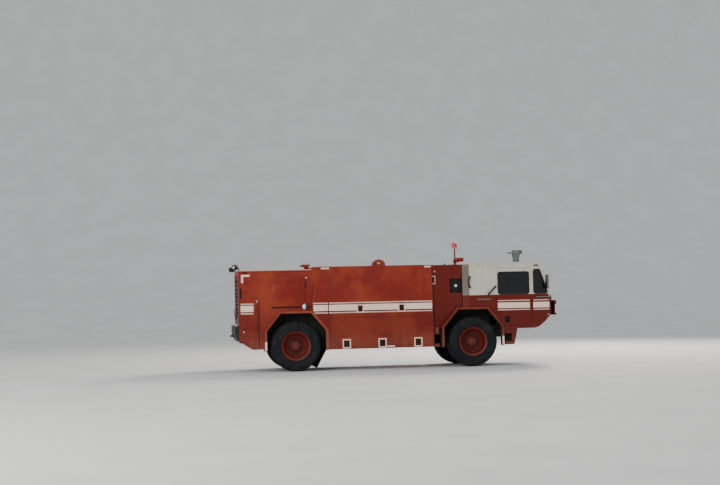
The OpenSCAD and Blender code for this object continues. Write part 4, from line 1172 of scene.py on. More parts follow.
class TENDER_OT_cab_fittings(bpy.types.Operator):
    """Grab handles, window seals, screens and wipers"""

    bl_idname = "tender.cab_fittings"
    bl_label = "Cab fittings"

    def execute(self, context):
        # Grab handles: each corner's x, distance out from the side and z
        rise = [(2.004, 0, 2.412), (1.985, 0.05, 2.408), (1.962, 0.05, 2.272), (1.985, 0.05, 2.134), (2.004, 0, 2.13)]
        slant = [(2.52, 0, 1.95), (2.512, 0.045, 1.942), (2.708, 0.045, 2.146), (2.716, 0, 2.138)]
        side = np.array([0, CAB_Y, 0])
        grips = [tube(smooth_path(rise + side, 7, 0.05), 0.023), tube(smooth_path(slant + side, 7, 0.035), 0.021)]
        pair("cab_grab_handles", grips, "black")
        ends = ((2.014, 2.412), (2.014, 2.13), (2.52, 1.95), (2.716, 2.138))
        feet = [plate(0.045, 0.06, 0.006, 0.015, (x, CAB_Y - 0.001, z), *WALL) for x, z in ends]
        pair("grab_handle_feet", feet, "black")
        # Side quarter window's seal: x and z of each corner, and the reach of its rounding
        corners = np.array([(3.775, 1.935), (4.18, 1.935), (3.953, 2.595), (3.775, 2.595)])
        trios = zip(np.roll(corners, 1, 0), corners, np.roll(corners, -1, 0), (0.06, 0.084, 0.043, 0.07))
        outline = np.concatenate([curve(*trio, 7) for trio in trios])
        for word, way in SIDES.items():
            path = place(outline, (0, way * (CAB_Y + 0.001), 0), (1, 0, 0), (0, 0, 1))
            add("quarter_seal_" + word, [tube(path, 0.013, 10, True)], "seal")
        dressed("cab_glass", ["glass"], 0).data.shade_flat()
        # Windscreen: each half's outline in the sloping front, from its foot to its head
        foot, head, low, high = FRONT_X + 2.17, FRONT_X + 1.875, 1.92, 2.76
        lean = math.atan2(foot - head, high - low)
        up = np.array([-math.sin(lean), 0, math.cos(lean)])
        out = np.array([math.cos(lean), 0, math.sin(lean)])
        inner, outer, bottom, top = 0.035, CAB_Y - 0.26, 0.06, math.hypot(foot - head, high - low) - 0.11
        centre = np.array([foot, (inner + outer) / 2, low]) + up * (bottom + top) / 2 + out * 0.001
        seal = place(rounded_loop(outer - inner, top - bottom, 0.03, 6), centre, (0, 1, 0), up)
        pair("windscreen_seals", [tube(seal, 0.013, 10, True)], "seal")
        root = np.array([foot, 0.62, low]) + up * 0.02 + out * 0.02
        tip = np.array([foot, 0.3, low]) + up * 0.33 + out * 0.03
        boss = [(0, 0), (0.022, 0), (0.022, 0.012), (0.014, 0.02), (0, 0.022)]
        arm = tube(smooth_path([root - out * 0.03, root, tip], 6, 0.02), 0.006, 10)
        pair("wiper_arms", [arm, lathe(boss, 20, root - out * 0.02, "x")], "black")
        along = np.array([0, -0.3, 0]) + up * 0.95
        along = 0.22 * along / np.linalg.norm(along)
        tip = tip + out * -0.008
        pair("wiper_blades", [tube([tip - along, tip + along], 0.006, 8, squash=1.6)], "seal")
        # Rain gutter along the cab roof
        pair("roof_gutters", [strip(1.99, 3.93, 2.728, 2.742, CAB_Y - 0.001, 0.014)], "cream", 0)
        return {"FINISHED"}


def tyre_surface(count, depth, side):
    """A tyre about the y axis: each ring of the wall and crown profile is carried round in angle, the crown's rings are
    swung by an amount that grows with their distance from the middle, which slants the blocks, and points that fall
    between blocks drop by the tread's depth."""
    half = TYRE_W / 2
    # Outer wall from bead to crown, then mirrored: radius, distance from the middle plane, share of the tread drop
    wall = [
        (RIM_R - 0.045, 0.16, 0), (RIM_R + 0.002, half - 0.034, 0), (RIM_R + 0.012, half - 0.022, 0),
        (RIM_R + 0.03, half - 0.014, 0), (RIM_R + 0.034, half - 0.012, 0), (RIM_R + 0.04, half - 0.014, 0),
        (RIM_R + 0.075, half - 0.004, 0), (TYRE_R - 0.15, half - 0.001, 0), (TYRE_R - 0.146, half, 0),
        (TYRE_R - 0.12, half - 0.001, 0), (TYRE_R - 0.095, half - 0.004, 0), (TYRE_R - 0.09, half - 0.002, 0.25),
        (TYRE_R - 0.07, half - 0.006, 0.7), (TYRE_R - 0.035, half - 0.022, 1), (TYRE_R - 0.016, half - 0.04, 1),
        (TYRE_R - 0.008, half - 0.062, 1), (TYRE_R - 0.004, half - 0.11, 1), (TYRE_R - 0.002, half - 0.15, 1),
        (TYRE_R, 0.026, 1), (TYRE_R, 0.012, 1), (TYRE_R, 0.0105, 1), (TYRE_R, 0.0, 1),
    ]
    radius, off, share = (np.concatenate([row, row[::-1][1:]]) for row in np.array(wall).T)
    off[len(wall):] *= -1
    pitch = 2 * np.pi / count
    # Steps inside one pitch: block, slope, groove, slope, then the same half a pitch on for the other side's blocks
    cell = np.array([0.0, 0.33, 0.355, 0.475, 0.5, 0.83, 0.855, 0.975])
    angle = (np.arange(count)[:, None] + cell[None]).reshape(-1) * pitch
    phase = np.tile(cell, count)[:, None]
    groove = ((phase > 0.34) & (phase < 0.49) & (off > 0.011)) | ((phase > 0.84) & (phase < 0.99) & (off < -0.011))
    groove = groove | (np.abs(off) <= 0.0115)
    swing = pitch * 0.9 * np.clip(np.abs(off) / half, 0, 1) * np.clip(share * 1.2, 0, 1)
    r = radius - depth * groove * share
    t = angle[:, None] + swing * side
    points = np.stack([r * np.sin(t), np.broadcast_to(off * side, r.shape), r * np.cos(t)], -1)
    faces = quads_of(len(angle), len(radius), True, False)
    # Bead to bead across the rim side closes the shell
    first = np.arange(len(angle)) * len(radius)
    last = first + len(radius) - 1
    faces += np.stack([first, last, np.roll(last, -1), np.roll(first, -1)], -1).tolist()
    return points.reshape(-1, 3), faces


class TENDER_OT_lamps(bpy.types.Operator):
    """Headlamps, tail lamps, beacon, siren and floodlights"""

    bl_idname = "tender.lamps"
    bl_label = "Lamps"

    def execute(self, context):
        # Headlamps: bright bowl behind a ribbed lens inside a chrome ring
        low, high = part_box("headlamps")
        z, r = (low.z + high.z) / 2, (high.z - low.z) / 2
        bowl = [(0.012 + 0.07 * a, 0.004 + 0.03 * a**2) for a in np.linspace(0, 1, 14)]
        bowl += [(0.088, 0.034), (0.0885, 0.0), (0.012, 0.0)]
        bulb = [(0, 0.002), (0.011, 0.002), (0.012, 0.016), (0.008, 0.024), (0, 0.026)]
        ring = [(0.08, 0.03), (0.094, 0.03), (0.0945, 0.04), (0.091, 0.0445), (0.084, 0.0445), (0.08, 0.039)]
        lens = [
            (0.08, 0.03), (0.08, 0.036), (0.06, 0.0405), (0.03, 0.0428), (0, 0.0434), (0, 0.0385), (0.03, 0.038),
            (0.06, 0.0355), (0.076, 0.03),
        ]
        points, faces = lathe(lens, 64, axis="x")
        points[:, 0] += 0.0007 * np.cos(points[:, 1] * 900) * (points[:, 0] > 0.036)
        spots = [(low.x, high.y - r - inward, z) for inward in (0, 0.23)]
        pair("headlamp_bowls", [lathe(bowl, 48, spot, "x") for spot in spots], "bright", 50, slot="lamp_clear")
        pair("headlamp_bulbs", [lathe(bulb, 20, spot, "x") for spot in spots], "tag", 50)
        rims = pair("headlamp_rings", [lathe(ring, 64, spot, "x") for spot in spots], "bright")
        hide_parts("headlamps")
        pair("headlamp_lenses", [moved((points, faces), spot) for spot in spots], "lens", 60)
        # Tail lamps: ribbed red and amber domes on black bases
        low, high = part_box("tail_lamps")
        z, r = (low.z + high.z) / 2, (high.z - low.z) / 2
        base = [(0, 0), (0.054, 0), (0.054, -0.011), (0.05, -0.013), (0, -0.013)]
        dome = [(0.048, -0.011)]
        for k in range(12):
            a = k / 11
            dome.append((0.048 - 0.047 * a**1.4, -0.0135 - 0.01 * math.sin(a * 1.57) - 0.0008 * (k % 2)))
        dome += [(0, -0.0245), (0, -0.011)]
        red, amber = ((high.x, high.y - r - inward, z) for inward in (0, 0.14))
        piece = pair("tail_lamp_bases", [lathe(base, 40, spot, "x") for spot in (red, amber)], "black", slot="lamp_red")
        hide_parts("tail_lamps")
        pair("tail_lamp_domes", [lathe(dome, 40, red, "x")], "red_lens", 30)
        pair("turn_lamp_domes", [lathe(dome, 40, amber, "x")], "amber_lens", 30)
        # Beacon: pole with collars, base, ribbed dome
        low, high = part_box("beacon")
        spot, tall = ((low.x + high.x) / 2, (low.y + high.y) / 2, low.z), high.z - low.z
        pole = [
            (0, 0), (0.04, 0), (0.04, 0.008), (0.0205, 0.014), (0.02, 0.044), (0.04, 0.045), (0.045, 0.05),
            (0.045, 0.148), (0.038, 0.155), (0.022, 0.158), (0.0195, 0.17), (0.0195, tall - 0.2),
            (0.024, tall - 0.195), (0.024, tall - 0.19), (0, tall - 0.19),
        ]
        piece = add("beacon_pole", [lathe(pole, 32, spot, "z")], "dark_red", 35, slot="rail_red")
        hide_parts("beacon")
        base = [(0, 0.192), (0.05, 0.192), (0.062, 0.18), (0.078, 0.174), (0.078, 0.15), (0.072, 0.146), (0, 0.146)]
        add("beacon_base", [lathe([(r, tall - h) for r, h in base], 48, spot, "z")], "handle_cream", 35)
        t = np.linspace(0, 1, 15)
        dome = [(0.07, -0.148)] + [(0.071 - 0.003 * a, -0.146 + 0.085 * a) for a in t]
        dome += [(0.068 * math.cos(a * 1.57), -0.061 + 0.06 * math.sin(a * 1.57)) for a in t[1:]] + [(0, -0.148)]
        points, faces = lathe([(r, tall + h) for r, h in dome], 72, axis="z")
        swell = 1 + 0.012 * np.cos(np.arctan2(points[:, 1], points[:, 0]) * 24) * (points[:, 2] < tall - 0.065)
        points[:, :2] *= swell[:, None]
        add("beacon_dome", [moved((points, faces), spot)], "beacon_lens", 50)
        # Siren: horn with a flared mouth and a rear cover, on the roof's back edge
        x, y, z = FRONT_X - 0.368, -0.73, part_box("roof_fittings")[1].z - 0.055
        horn = [
            (0, -0.003), (0.03, -0.003), (0.048, 0.01), (0.0555, 0.03), (0.0555, 0.15), (0.05, 0.155), (0.05, 0.165),
            (0.0555, 0.175), (0.0555, 0.246), (0.05, 0.2485), (0.046, 0.235), (0.02, 0.19), (0.02, 0.238), (0.0, 0.242),
        ]
        mouth = [(0, 0.24), (0.017, 0.238), (0.019, 0.243), (0.012, 0.2475), (0, 0.2483)]
        foot = box_shape((x + 0.02, y - 0.055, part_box("cab_upper")[1].z - 0.012), (x + 0.236, y + 0.055, z - 0.068))
        add("siren_horn", [lathe(horn, 56, (x, y, z), "x")], "red", 35)
        add("siren_foot", [foot], "tube_cream")
        add("siren_mouth", [lathe(mouth, 32, (x, y, z), "x")], "tag")
        # Floodlight glass, rims and fins, on axes that look back and outward
        centre = (TAIL_X + 0.02 - 0.1, 1.075 + 0.035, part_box("rear_body")[1].z + 0.09)
        slant = math.sqrt(0.5)
        axes = np.array([(slant, slant, 0), (-slant, slant, 0), (0, 0, 1)])
        front, back = 0.05, -0.05
        rim = [(0.033, -0.006), (0.0655, -0.006), (0.067, 0), (0.061, 0.006), (0.035, 0.003)]
        glass = [(0, -0.012), (0.034, -0.012), (0.034, 0.001), (0.026, 0.004), (0, 0.006)]
        cover = [(0.03, -0.004), (0.0, -0.004), (0.0, 0.002), (0.045, 0.002), (0.045, -0.003)]
        fin = [(0.061, 0), (0.0678, 0.001), (0.0678, 0.005), (0.061, 0.006)]

        def lit(profile, at):
            points, faces = lathe([(r, at + h) for r, h in profile], 48)
            return moved((points @ axes, faces), centre)

        pair("floodlight_rims", [lit(rim, front)], "black")
        pair("floodlight_glass", [lit(glass, front)], "lamp_white")
        pair("floodlight_fins", [lit(cover, back)] + [lit(fin, k) for k in np.linspace(-0.036, 0.024, 5)], "black")
        return {"FINISHED"}


class TENDER_OT_roof(bpy.types.Operator):
    """Tank roof: drum rims and hubs, fill covers, walkway; the intake grille and the cab's hatch curb and ribs"""

    bl_idname = "tender.roof"
    bl_label = "Roof"

    def execute(self, context):
        # Drum: rims, hub and bolts on each end, built about the middle of its foot
        low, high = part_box("roof_drum")
        x, r = (low.x + high.x) / 2, (high.x - low.x) / 2
        arc = np.linspace(0.02, np.pi - 0.02, 40)
        rims = []
        for radius, thick in ((r - 0.012, 0.006), (r * 0.62, 0.0035)):
            path = [-radius * np.cos(arc), np.full(40, 0.001), radius * np.sin(arc)]
            rims.append(tube(np.stack(path, -1), thick, 10))
        hub = [(0, 0), (0.046, 0), (0.046, 0.006), (0.034, 0.01), (0.03, 0.022), (0.016, 0.026), (0, 0.027)]
        angles = np.linspace(0.25, np.pi - 0.25, 7)
        bolts = studs([(-0.142 * math.cos(a), 0, 0.142 * math.sin(a)) for a in angles], 0.009, 0.007, "y")
        # The drum's rims take the lighter edge paint, a painted highlight
        for name, parts, kind, smooth in (
            ("drum_rims", rims, "red_worn_lit_edge", 40), ("drum_hubs", [lathe(hub, 36, (0, 0, 0.06))], "brass", 40),
            ("drum_bolts", [bolts], "steel", 30),
        ):
            ends = [moved(part, (x, y, low.z), (1, out, 1)) for out, y in ((-1, low.y), (1, high.y)) for part in parts]
            add(name, ends, kind, smooth)
        # Fill covers: flanged round plates with bolts
        cover = [
            (0, 0), (0.3, 0), (0.3, 0.012), (0.285, 0.016), (0.285, 0.02), (0.262, 0.022), (0.1, 0.03), (0, 0.032),
        ]
        at = (-1.55, 0.35)
        add("fill_covers", [lathe(cover, 72, (cx, 0, TANK_Z - 0.001), "z") for cx in at], "red")
        spots = [(cx + px, py, TANK_Z + 0.018) for cx in at for px, py in circle(16, 0.275)]
        add("fill_cover_bolts", [studs(spots, 0.011, 0.01, "z")], "steel", 30)
        # Walkways: a plate each side with raised diamonds that alternate in direction
        ways = (-0.5, 0.5)
        plates = [plate(2.9, 0.38, 0.004, 0.01, (-0.62, y, TANK_Z - 0.001), *FLAT) for y in ways]
        add("walkway_plates", plates, "steel")
        gx, gy = np.meshgrid(np.arange(-2.02, 0.79, 0.042), np.arange(-0.168, 0.17, 0.042), indexing="ij")
        odd = np.add.outer(*(np.arange(count) for count in gx.shape)) % 2
        turn = np.where(odd, 0.785, -0.785).reshape(-1, 1)
        c, s = np.cos(turn), np.sin(turn)
        # Each diamond's four feet and its top: along it, across it and up
        u, v = np.array([(0.017, 0, -0.017, 0, 0), (0, 0.006, 0, -0.006, 0)])
        rise = np.array([0.0028] * 4 + [0.0052])
        points = [u * c - v * s + gx.reshape(-1, 1), u * s + v * c + gy.reshape(-1, 1), rise + TANK_Z + 0 * c]
        points = np.stack(points, -1).reshape(-1, 3)
        sides = ((0, 1, 4), (1, 2, 4), (2, 3, 4), (3, 0, 4), (3, 2, 1, 0))
        faces = [[first + i for i in face] for first in range(0, len(points), 5) for face in sides]
        add("walkway_tread", [moved((points, faces), (0, y, 0)) for y in ways], "steel", 0)
        # Intake grille on the engine housing's roof
        x, top = -3.55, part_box("rear_body")[1].z
        add("roof_grille_plate", [plate(0.9, 1.3, 0.01, 0.02, (x, 0, top - 0.002), *FLAT)], "dark_red")
        bars = [
            plate(0.8, 0.012, 0.012, 0.003, (x, y, top + 0.006), *FLAT, edge=0.002, per=3)
            for y in np.arange(-0.6, 0.601, 0.04)
        ]
        add("roof_grille_bars", bars, "black")
        # Low curb round the cab's roof hatch, and the roof's ribs
        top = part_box("cab_upper")[1].z
        add("cab_roof_curb", [frame_ring(0.62, 0.56, 0.05, 0.03, 0.016, (2.55, 0, top - 0.001), *FLAT)], "cream")
        ribs = [
            plate(0.018, 2.1, 0.006, 0.006, (x, 0, top - 0.002), *FLAT, edge=0.002, per=4)
            for x in (1.9, 2.15, 2.95, 3.2, 3.9)
        ]
        add("cab_roof_ribs", ribs, "cream")
        return {"FINISHED"}


class TENDER_OT_turret(bpy.types.Operator):
    """Turret: bolts, collar, trunnion caps, gear lugs and the barrel's rings and grip"""

    bl_idname = "tender.turret"
    bl_label = "Turret"

    def execute(self, context):
        low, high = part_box("turret_base")
        x, foot = (low.x + high.x) / 2, low.z
        flange = [(x + px, py, foot + 0.029) for px, py in circle(12, 0.135)]
        add("turret_flange_bolts", [studs(flange, 0.01, 0.009, "z")], "steel", 30)
        collar = [
            (0.086, 0.03), (0.105, 0.03), (0.103, 0.04), (0.097, 0.046), (0.097, 0.1), (0.101, 0.104), (0.101, 0.11),
            (0.086, 0.11),
        ]
        add("turret_collar", [lathe(collar, 56, (x, 0, foot), "z")], "pale", 35)
        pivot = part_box("turret_nozzle")[1].z - 0.058
        cap = [(0.0225, 0.0885), (0.044, 0.0885), (0.044, 0.094), (0.036, 0.098), (0.0225, 0.098)]
        pair("turret_trunnion_caps", [lathe(cap, 36, (x, 0, pivot))], "steel", body="turret_mount")
        drum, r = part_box("turret_head")[0].z + 0.024, 0.0865
        lugs = [
            plate(0.022, 0.03, 0.006, 0.004, (x + px, py, drum), (-py / r, px / r, 0), edge=0.001, per=3)
            for px, py in circle(10, r)
        ]
        add("turret_gear_lugs", lugs, "pale", body="turret_mount")
        # Barrel: rings, bore and muzzle
        ring = [(0.0495, -0.008), (0.0535, -0.007), (0.0535, 0.007), (0.0495, 0.008)]
        rings = [lathe(ring, 48, (x + at, 0, pivot), "x") for at in (-0.052, 0.0, 0.06)]
        lip = [(0.0575, 0.113), (0.059, 0.116), (0.059, 0.174), (0.0565, 0.1795), (0.0575, 0.1795)]
        rings.append(lathe(lip, 48, (x, 0, pivot), "x"))
        bore = lathe([(0, 0.1785), (0.038, 0.1785), (0.04, 0.1812), (0.0, 0.1812)], 40, (x, 0, pivot), "x")
        muzzle = lathe([(0.038, 0.179), (0.054, 0.179), (0.053, 0.1835), (0.041, 0.1835)], 48, (x, 0, pivot), "x")
        grip = tube([(x - 0.268, -0.128, pivot - 0.0347), (x - 0.17, -0.128, pivot - 0.023)], 0.0165, 16)
        add("turret_barrel_rings", rings, "pale", body="turret_barrel")
        # The bore's end is a near-black disc, painted shade inside the barrel
        add("turret_bore", [bore], "void", body="turret_barrel")
        add("turret_muzzle", [muzzle], "brass", body="turret_barrel")
        add("turret_handle_grip", [grip], "seal", body="turret_barrel")
        return {"FINISHED"}


# How far each seat stands from the middle
SEAT_Y = 0.56


class TENDER_OT_cabin(bpy.types.Operator):
    """Padded seats, dashboard dials, steering wheel rim and pedals"""

    bl_idname = "tender.cabin"
    bl_label = "Cabin"

    def execute(self, context):
        low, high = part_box("seats")
        cushion = soft_pad("seat_cushion", (0.5, 0.49, 0.135), channels=4)
        points, faces = soft_pad("seat_back", (0.56, 0.47, 0.11), channels=4)
        # Back: the pad's length stands up and leans back about its foot
        lean = math.radians(98.5)
        axes = [(math.cos(lean), 0, math.sin(lean)), (0, 1, 0), (math.sin(lean), 0, -math.cos(lean))]
        back = (points + np.array([0.28, 0, 0])) @ np.array(axes), faces
        pads = (
            ("seat_cushion", cushion, high.x - 0.25, low.z + 0.26 + 0.07),
            ("seat_back", back, low.x + 0.14, low.z + 0.435),
        )
        for k, y in enumerate((-SEAT_Y, SEAT_Y)):
            for name, pad, x, z in pads:
                piece = add(f"{name}_{k}", [moved(pad, (x, y, z))], "seat_cloth", 0, slot="seat_cloth")
                piece.data.shade_smooth()
                sub = piece.modifiers.new("round", "SUBSURF")
                sub.levels = sub.render_levels = 1
                if name == "seat_cushion" and k == 0:
                    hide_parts("seats")
        pedestal = plate(0.35, 0.26, 0.258, 0.02, (low.x + 0.305, SEAT_Y, low.z + 0.001), *FLAT, edge=0.006)
        pair("seat_pedestals", [pedestal], "black")
        rails = []
        for y in (SEAT_Y - 0.18, SEAT_Y + 0.18):
            rails.append(box_shape((low.x + 0.12, y - 0.015, low.z + 0.235), (low.x + 0.55, y + 0.015, low.z + 0.262)))
        pair("seat_rails", rails, "steel")
        dressed("dashboard", ["dash"] * 2, 0.008, 3).data.shade_smooth()
        dressed("steering_wheel", ["seal"], 0)
        # Dials: rims and pale faces on the slope of the panel behind the wheel, each a distance out and a radius
        up = np.array([math.sqrt(0.5), 0, math.sqrt(0.5)])
        axes = np.array([(0, 1, 0), (-up[2], 0, up[0]), up])
        rims, dials = [], []
        for y, r in ((0.7, 0.034), (0.6, 0.04), (0.5, 0.04), (0.4, 0.034), (0.28, 0.024), (0.21, 0.024)):
            rim = [(r - 0.005, -0.002), (r, -0.002), (r, 0.006), (r - 0.003, 0.009), (r - 0.005, 0.005)]
            dial = [(0, -0.001), (r - 0.004, -0.001), (r - 0.004, 0.003), (0, 0.0035)]
            for store, profile in ((rims, rim), (dials, dial)):
                points, faces = lathe(profile, 36)
                store.append(moved((points @ axes, faces), (FRONT_X + 1.7, y, 1.84)))
        add("dial_rims", rims, "bright")
        add("dial_faces", dials, "dial")
        pedals, arms = [], []
        for k in range(3):
            x, y = FRONT_X + 1.6 + 0.03 * k, 0.44 + 0.12 * k
            pedals.append(plate(0.09, 0.13, 0.012, 0.01, (x, y, 1.2), (0, -1, 0), (0.6, 0, 0.8), edge=0.003))
            path = smooth_path([(x, y, 1.2), (x + 0.06, y, 1.3), (FRONT_X + 1.7, y, 1.52)], 6, 0.05)
            arms.append(tube(path, 0.009, 10))
        add("pedals", pedals, "seal")
        add("pedal_arms", arms, "black")
        return {"FINISHED"}


def vertices_of(mesh):
    """A mesh's points as an array."""
    points = np.empty(len(mesh.vertices) * 3)
    mesh.vertices.foreach_get("co", points)
    return points.reshape(-1, 3)


def soft_pad(name, size, channels):
    length, width, height = size
    nu, nv = 44, 28
    u, v = np.meshgrid(np.linspace(-1, 1, nu), np.linspace(0, 2 * np.pi, nv, endpoint=False), indexing="ij")
    # Superellipse ring across, shrinking towards both ends
    taper = np.maximum(1 - np.abs(u) ** 9, 0.02) ** (1 / 3.2)
    cy, cz = np.cos(v), np.sin(v)
    power = 0.42
    y = np.sign(cy) * np.abs(cy) ** power * width / 2 * (0.9 + 0.1 * taper)
    z = np.sign(cz) * np.abs(cz) ** power * height / 2 * taper
    crown = 0.16 * height * (1 - (2 * y / width) ** 2) * (1 - u**2) * (z > 0)
    sew = np.exp(-((np.mod((u + 1) / 2 * channels + 0.5, 1) - 0.5) ** 2) / 0.0035) * (np.abs(u) < 0.92)
    z = z + crown - 0.01 * sew * (z > 0.2 * height)
    points = np.stack([u * length / 2, y, z], -1).reshape(-1, 3)
    faces = quads_of(nu, nv, False, True) + caps(nu, nv)
    mesh = bpy.data.meshes.new(name + "_form")
    mesh.from_pydata(points.tolist(), [], faces)
    form = linked(name + "_form", mesh)
    remesh = form.modifiers.new("even", "REMESH")
    remesh.mode = "VOXEL"
    remesh.voxel_size = 0.009
    cloth = form.modifiers.new("cloth", "CLOTH")
    cloth.settings.use_pressure = True
    cloth.settings.uniform_pressure_force = 4
    cloth.settings.effector_weights.gravity = 0
    cloth.settings.quality = 4
    start = None
    for step in range(1, 13):
        bpy.context.scene.frame_set(step)
        shaped = form.evaluated_get(bpy.context.evaluated_depsgraph_get()).data
        if start is None:
            start = vertices_of(shaped)
    end = vertices_of(shaped)
    blown = [tuple(p.vertices) for p in shaped.polygons]
    bpy.context.scene.frame_set(1)
    if len(end) != len(start):
        return points, faces
    # No point moves further than the longest way the cover gives
    move = end - start
    way = np.linalg.norm(move, axis=1, keepdims=True)
    end = start + move * np.minimum(1, 0.01 / np.maximum(way, 1e-9))
    bpy.data.objects.remove(form)
    return end, blown


# Where each air tank's back end stands inside the frame: two ahead of the rear axle, one ahead of the bay
AIR_TANKS = ((-1.66, 0.2, 0.9), (-1.66, -0.2, 0.9), (1.27, 0.2, 0.88))
RAIL_Y = 0.325


def strap(radius, at, half, turns, centre):
    """A flat ring round a tank, its middle at a distance along it."""
    profile = [(radius, at - half), (radius + 0.0045, at - half), (radius + 0.0045, at + half), (radius, at + half)]
    return lathe(profile, turns, centre, "x")


class TENDER_OT_underside(bpy.types.Operator):
    """Spring clamps, dampers, brake chambers, axle covers, air tanks and exhaust"""

    bl_idname = "tender.underside"
    bl_label = "Underside"

    def execute(self, context):
        clamps, nuts, dampers, chambers = [], [], [], []
        chamber = [
            (0, 0), (0.055, 0), (0.075, 0.02), (0.082, 0.05), (0.086, 0.052), (0.086, 0.062), (0.08, 0.066),
            (0.07, 0.1), (0.03, 0.12), (0, 0.12),
        ]
        inner, outer = 0.365 - 0.05, 0.365 + 0.05
        low, high, hub = AXLE_Z - 0.1, AXLE_Z + 0.088, AXLE_Z + 0.03
        for x in (REAR_X, FRONT_X):
            for at in (x - 0.09, x + 0.09):
                loop = [(at, inner, low), (at, inner, high), (at, outer, high), (at, outer, low)]
                clamps.append(tube(smooth_path(loop, 6, 0.02), 0.01, 10))
                nuts += [(at, inner, AXLE_Z - 0.106), (at, outer, AXLE_Z - 0.106)]
            clamps.append(plate(0.26, 0.13, 0.014, 0.01, (x, 0.365, AXLE_Z - 0.094), *FLAT))
            foot, head = np.array([x + 0.12, 0.455, AXLE_Z + 0.02]), np.array([x + 0.3, 0.455, 0.955])
            along = (head - foot) / np.linalg.norm(head - foot)
            dampers.append(tube([foot, foot + along * 0.17], 0.032, 20))
            dampers.append(tube([foot + along * 0.165, head], 0.024, 20))
            chambers.append(lathe(chamber, 32, (x - 0.26, 0.5, hub), "x"))
            chambers.append(tube([(x - 0.155, 0.5, hub), (x - 0.02, 0.5, hub)], 0.01, 10))
            chambers.append(box_shape((x - 0.035, 0.48, AXLE_Z - 0.02), (x - 0.005, 0.52, AXLE_Z + 0.06)))
        pair("spring_clamps", clamps, "chassis")
        pair("spring_clamp_nuts", [studs(nuts, 0.016, 0.018, "z")], "steel", 30)
        pair("dampers", dampers, "black")
        pair("brake_chambers", chambers, "chassis")
        # Axle housings: a cover and a ring of bolts on each bowl
        covers, bolts = [], []
        cover = [(0, 0.034), (0.06, 0.034), (0.12, 0.026), (0.165, 0.006), (0.175, -0.002), (0, -0.002)]
        for x, way, axis in ((REAR_X - 0.17, -1, "-x"), (FRONT_X + 0.17, 1, "x")):
            covers.append(moved(lathe(cover, 48, axis="x"), (x, 0, AXLE_Z), (way, 1, 1)))
            bolts.append(studs([(x, y, AXLE_Z + z) for y, z in circle(14, 0.185)], 0.01, 0.01, axis))
        add("axle_covers", covers, "chassis")
        add("axle_cover_bolts", bolts, "steel", 30)
        tank = [
            (0, 0), (0.05, 0.006), (0.088, 0.03), (0.098, 0.06), (0.098, 0.25), (0.1, 0.252), (0.1, 0.262),
            (0.098, 0.264), (0.098, 0.5), (0.088, 0.53), (0.05, 0.554), (0, 0.56),
        ]
        add("air_tanks", [lathe(tank, 36, spot, "x") for spot in AIR_TANKS], "black")
        straps = []
        for x, y, z in AIR_TANKS:
            near, far = sorted((y, math.copysign(RAIL_Y, y)))
            for at in (0.12, 0.42):
                straps.append(strap(0.0975, at, 0.015, 36, (x, y, z)))
                straps.append(box_shape((x + at - 0.015, near, z + 0.06), (x + at + 0.015, far, z + 0.075)))
        add("air_tank_straps", straps, "steel")
        # Exhaust: down from the engine, under the frame rail into a silencer, and out under the tail
        x, y, z = -3.92, -0.515, 0.7
        down = smooth_path([(-3.72, -0.24, 0.76), (-3.72, -0.26, 0.7), (-3.72, -0.47, 0.7)], 8, 0.05)
        tail = smooth_path([(x + 0.01, y, z), (x - 0.04, y, z), (x - 0.075, y, z - 0.02)], 6, 0.02)
        add("exhaust_pipes", [tube(down, 0.04, 20), tube(tail, 0.034, 20)], "rusty")
        silencer = [
            (0, 0), (0.05, 0), (0.09, 0.012), (0.097, 0.03), (0.1, 0.032), (0.1, 0.428), (0.097, 0.43), (0.09, 0.448),
            (0.05, 0.46), (0, 0.46),
        ]
        add("exhaust_silencer", [lathe(silencer, 40, (x, y, z), "x")], "rusty")
        straps = []
        for at in (0.09, 0.37):
            straps.append(strap(0.0985, at, 0.014, 40, (x, y, z)))
            straps.append(box_shape((x + at - 0.014, y + 0.06, z + 0.07), (x + at + 0.014, -0.405, z + 0.085)))
        add("exhaust_straps", straps, "steel")
        return {"FINISHED"}


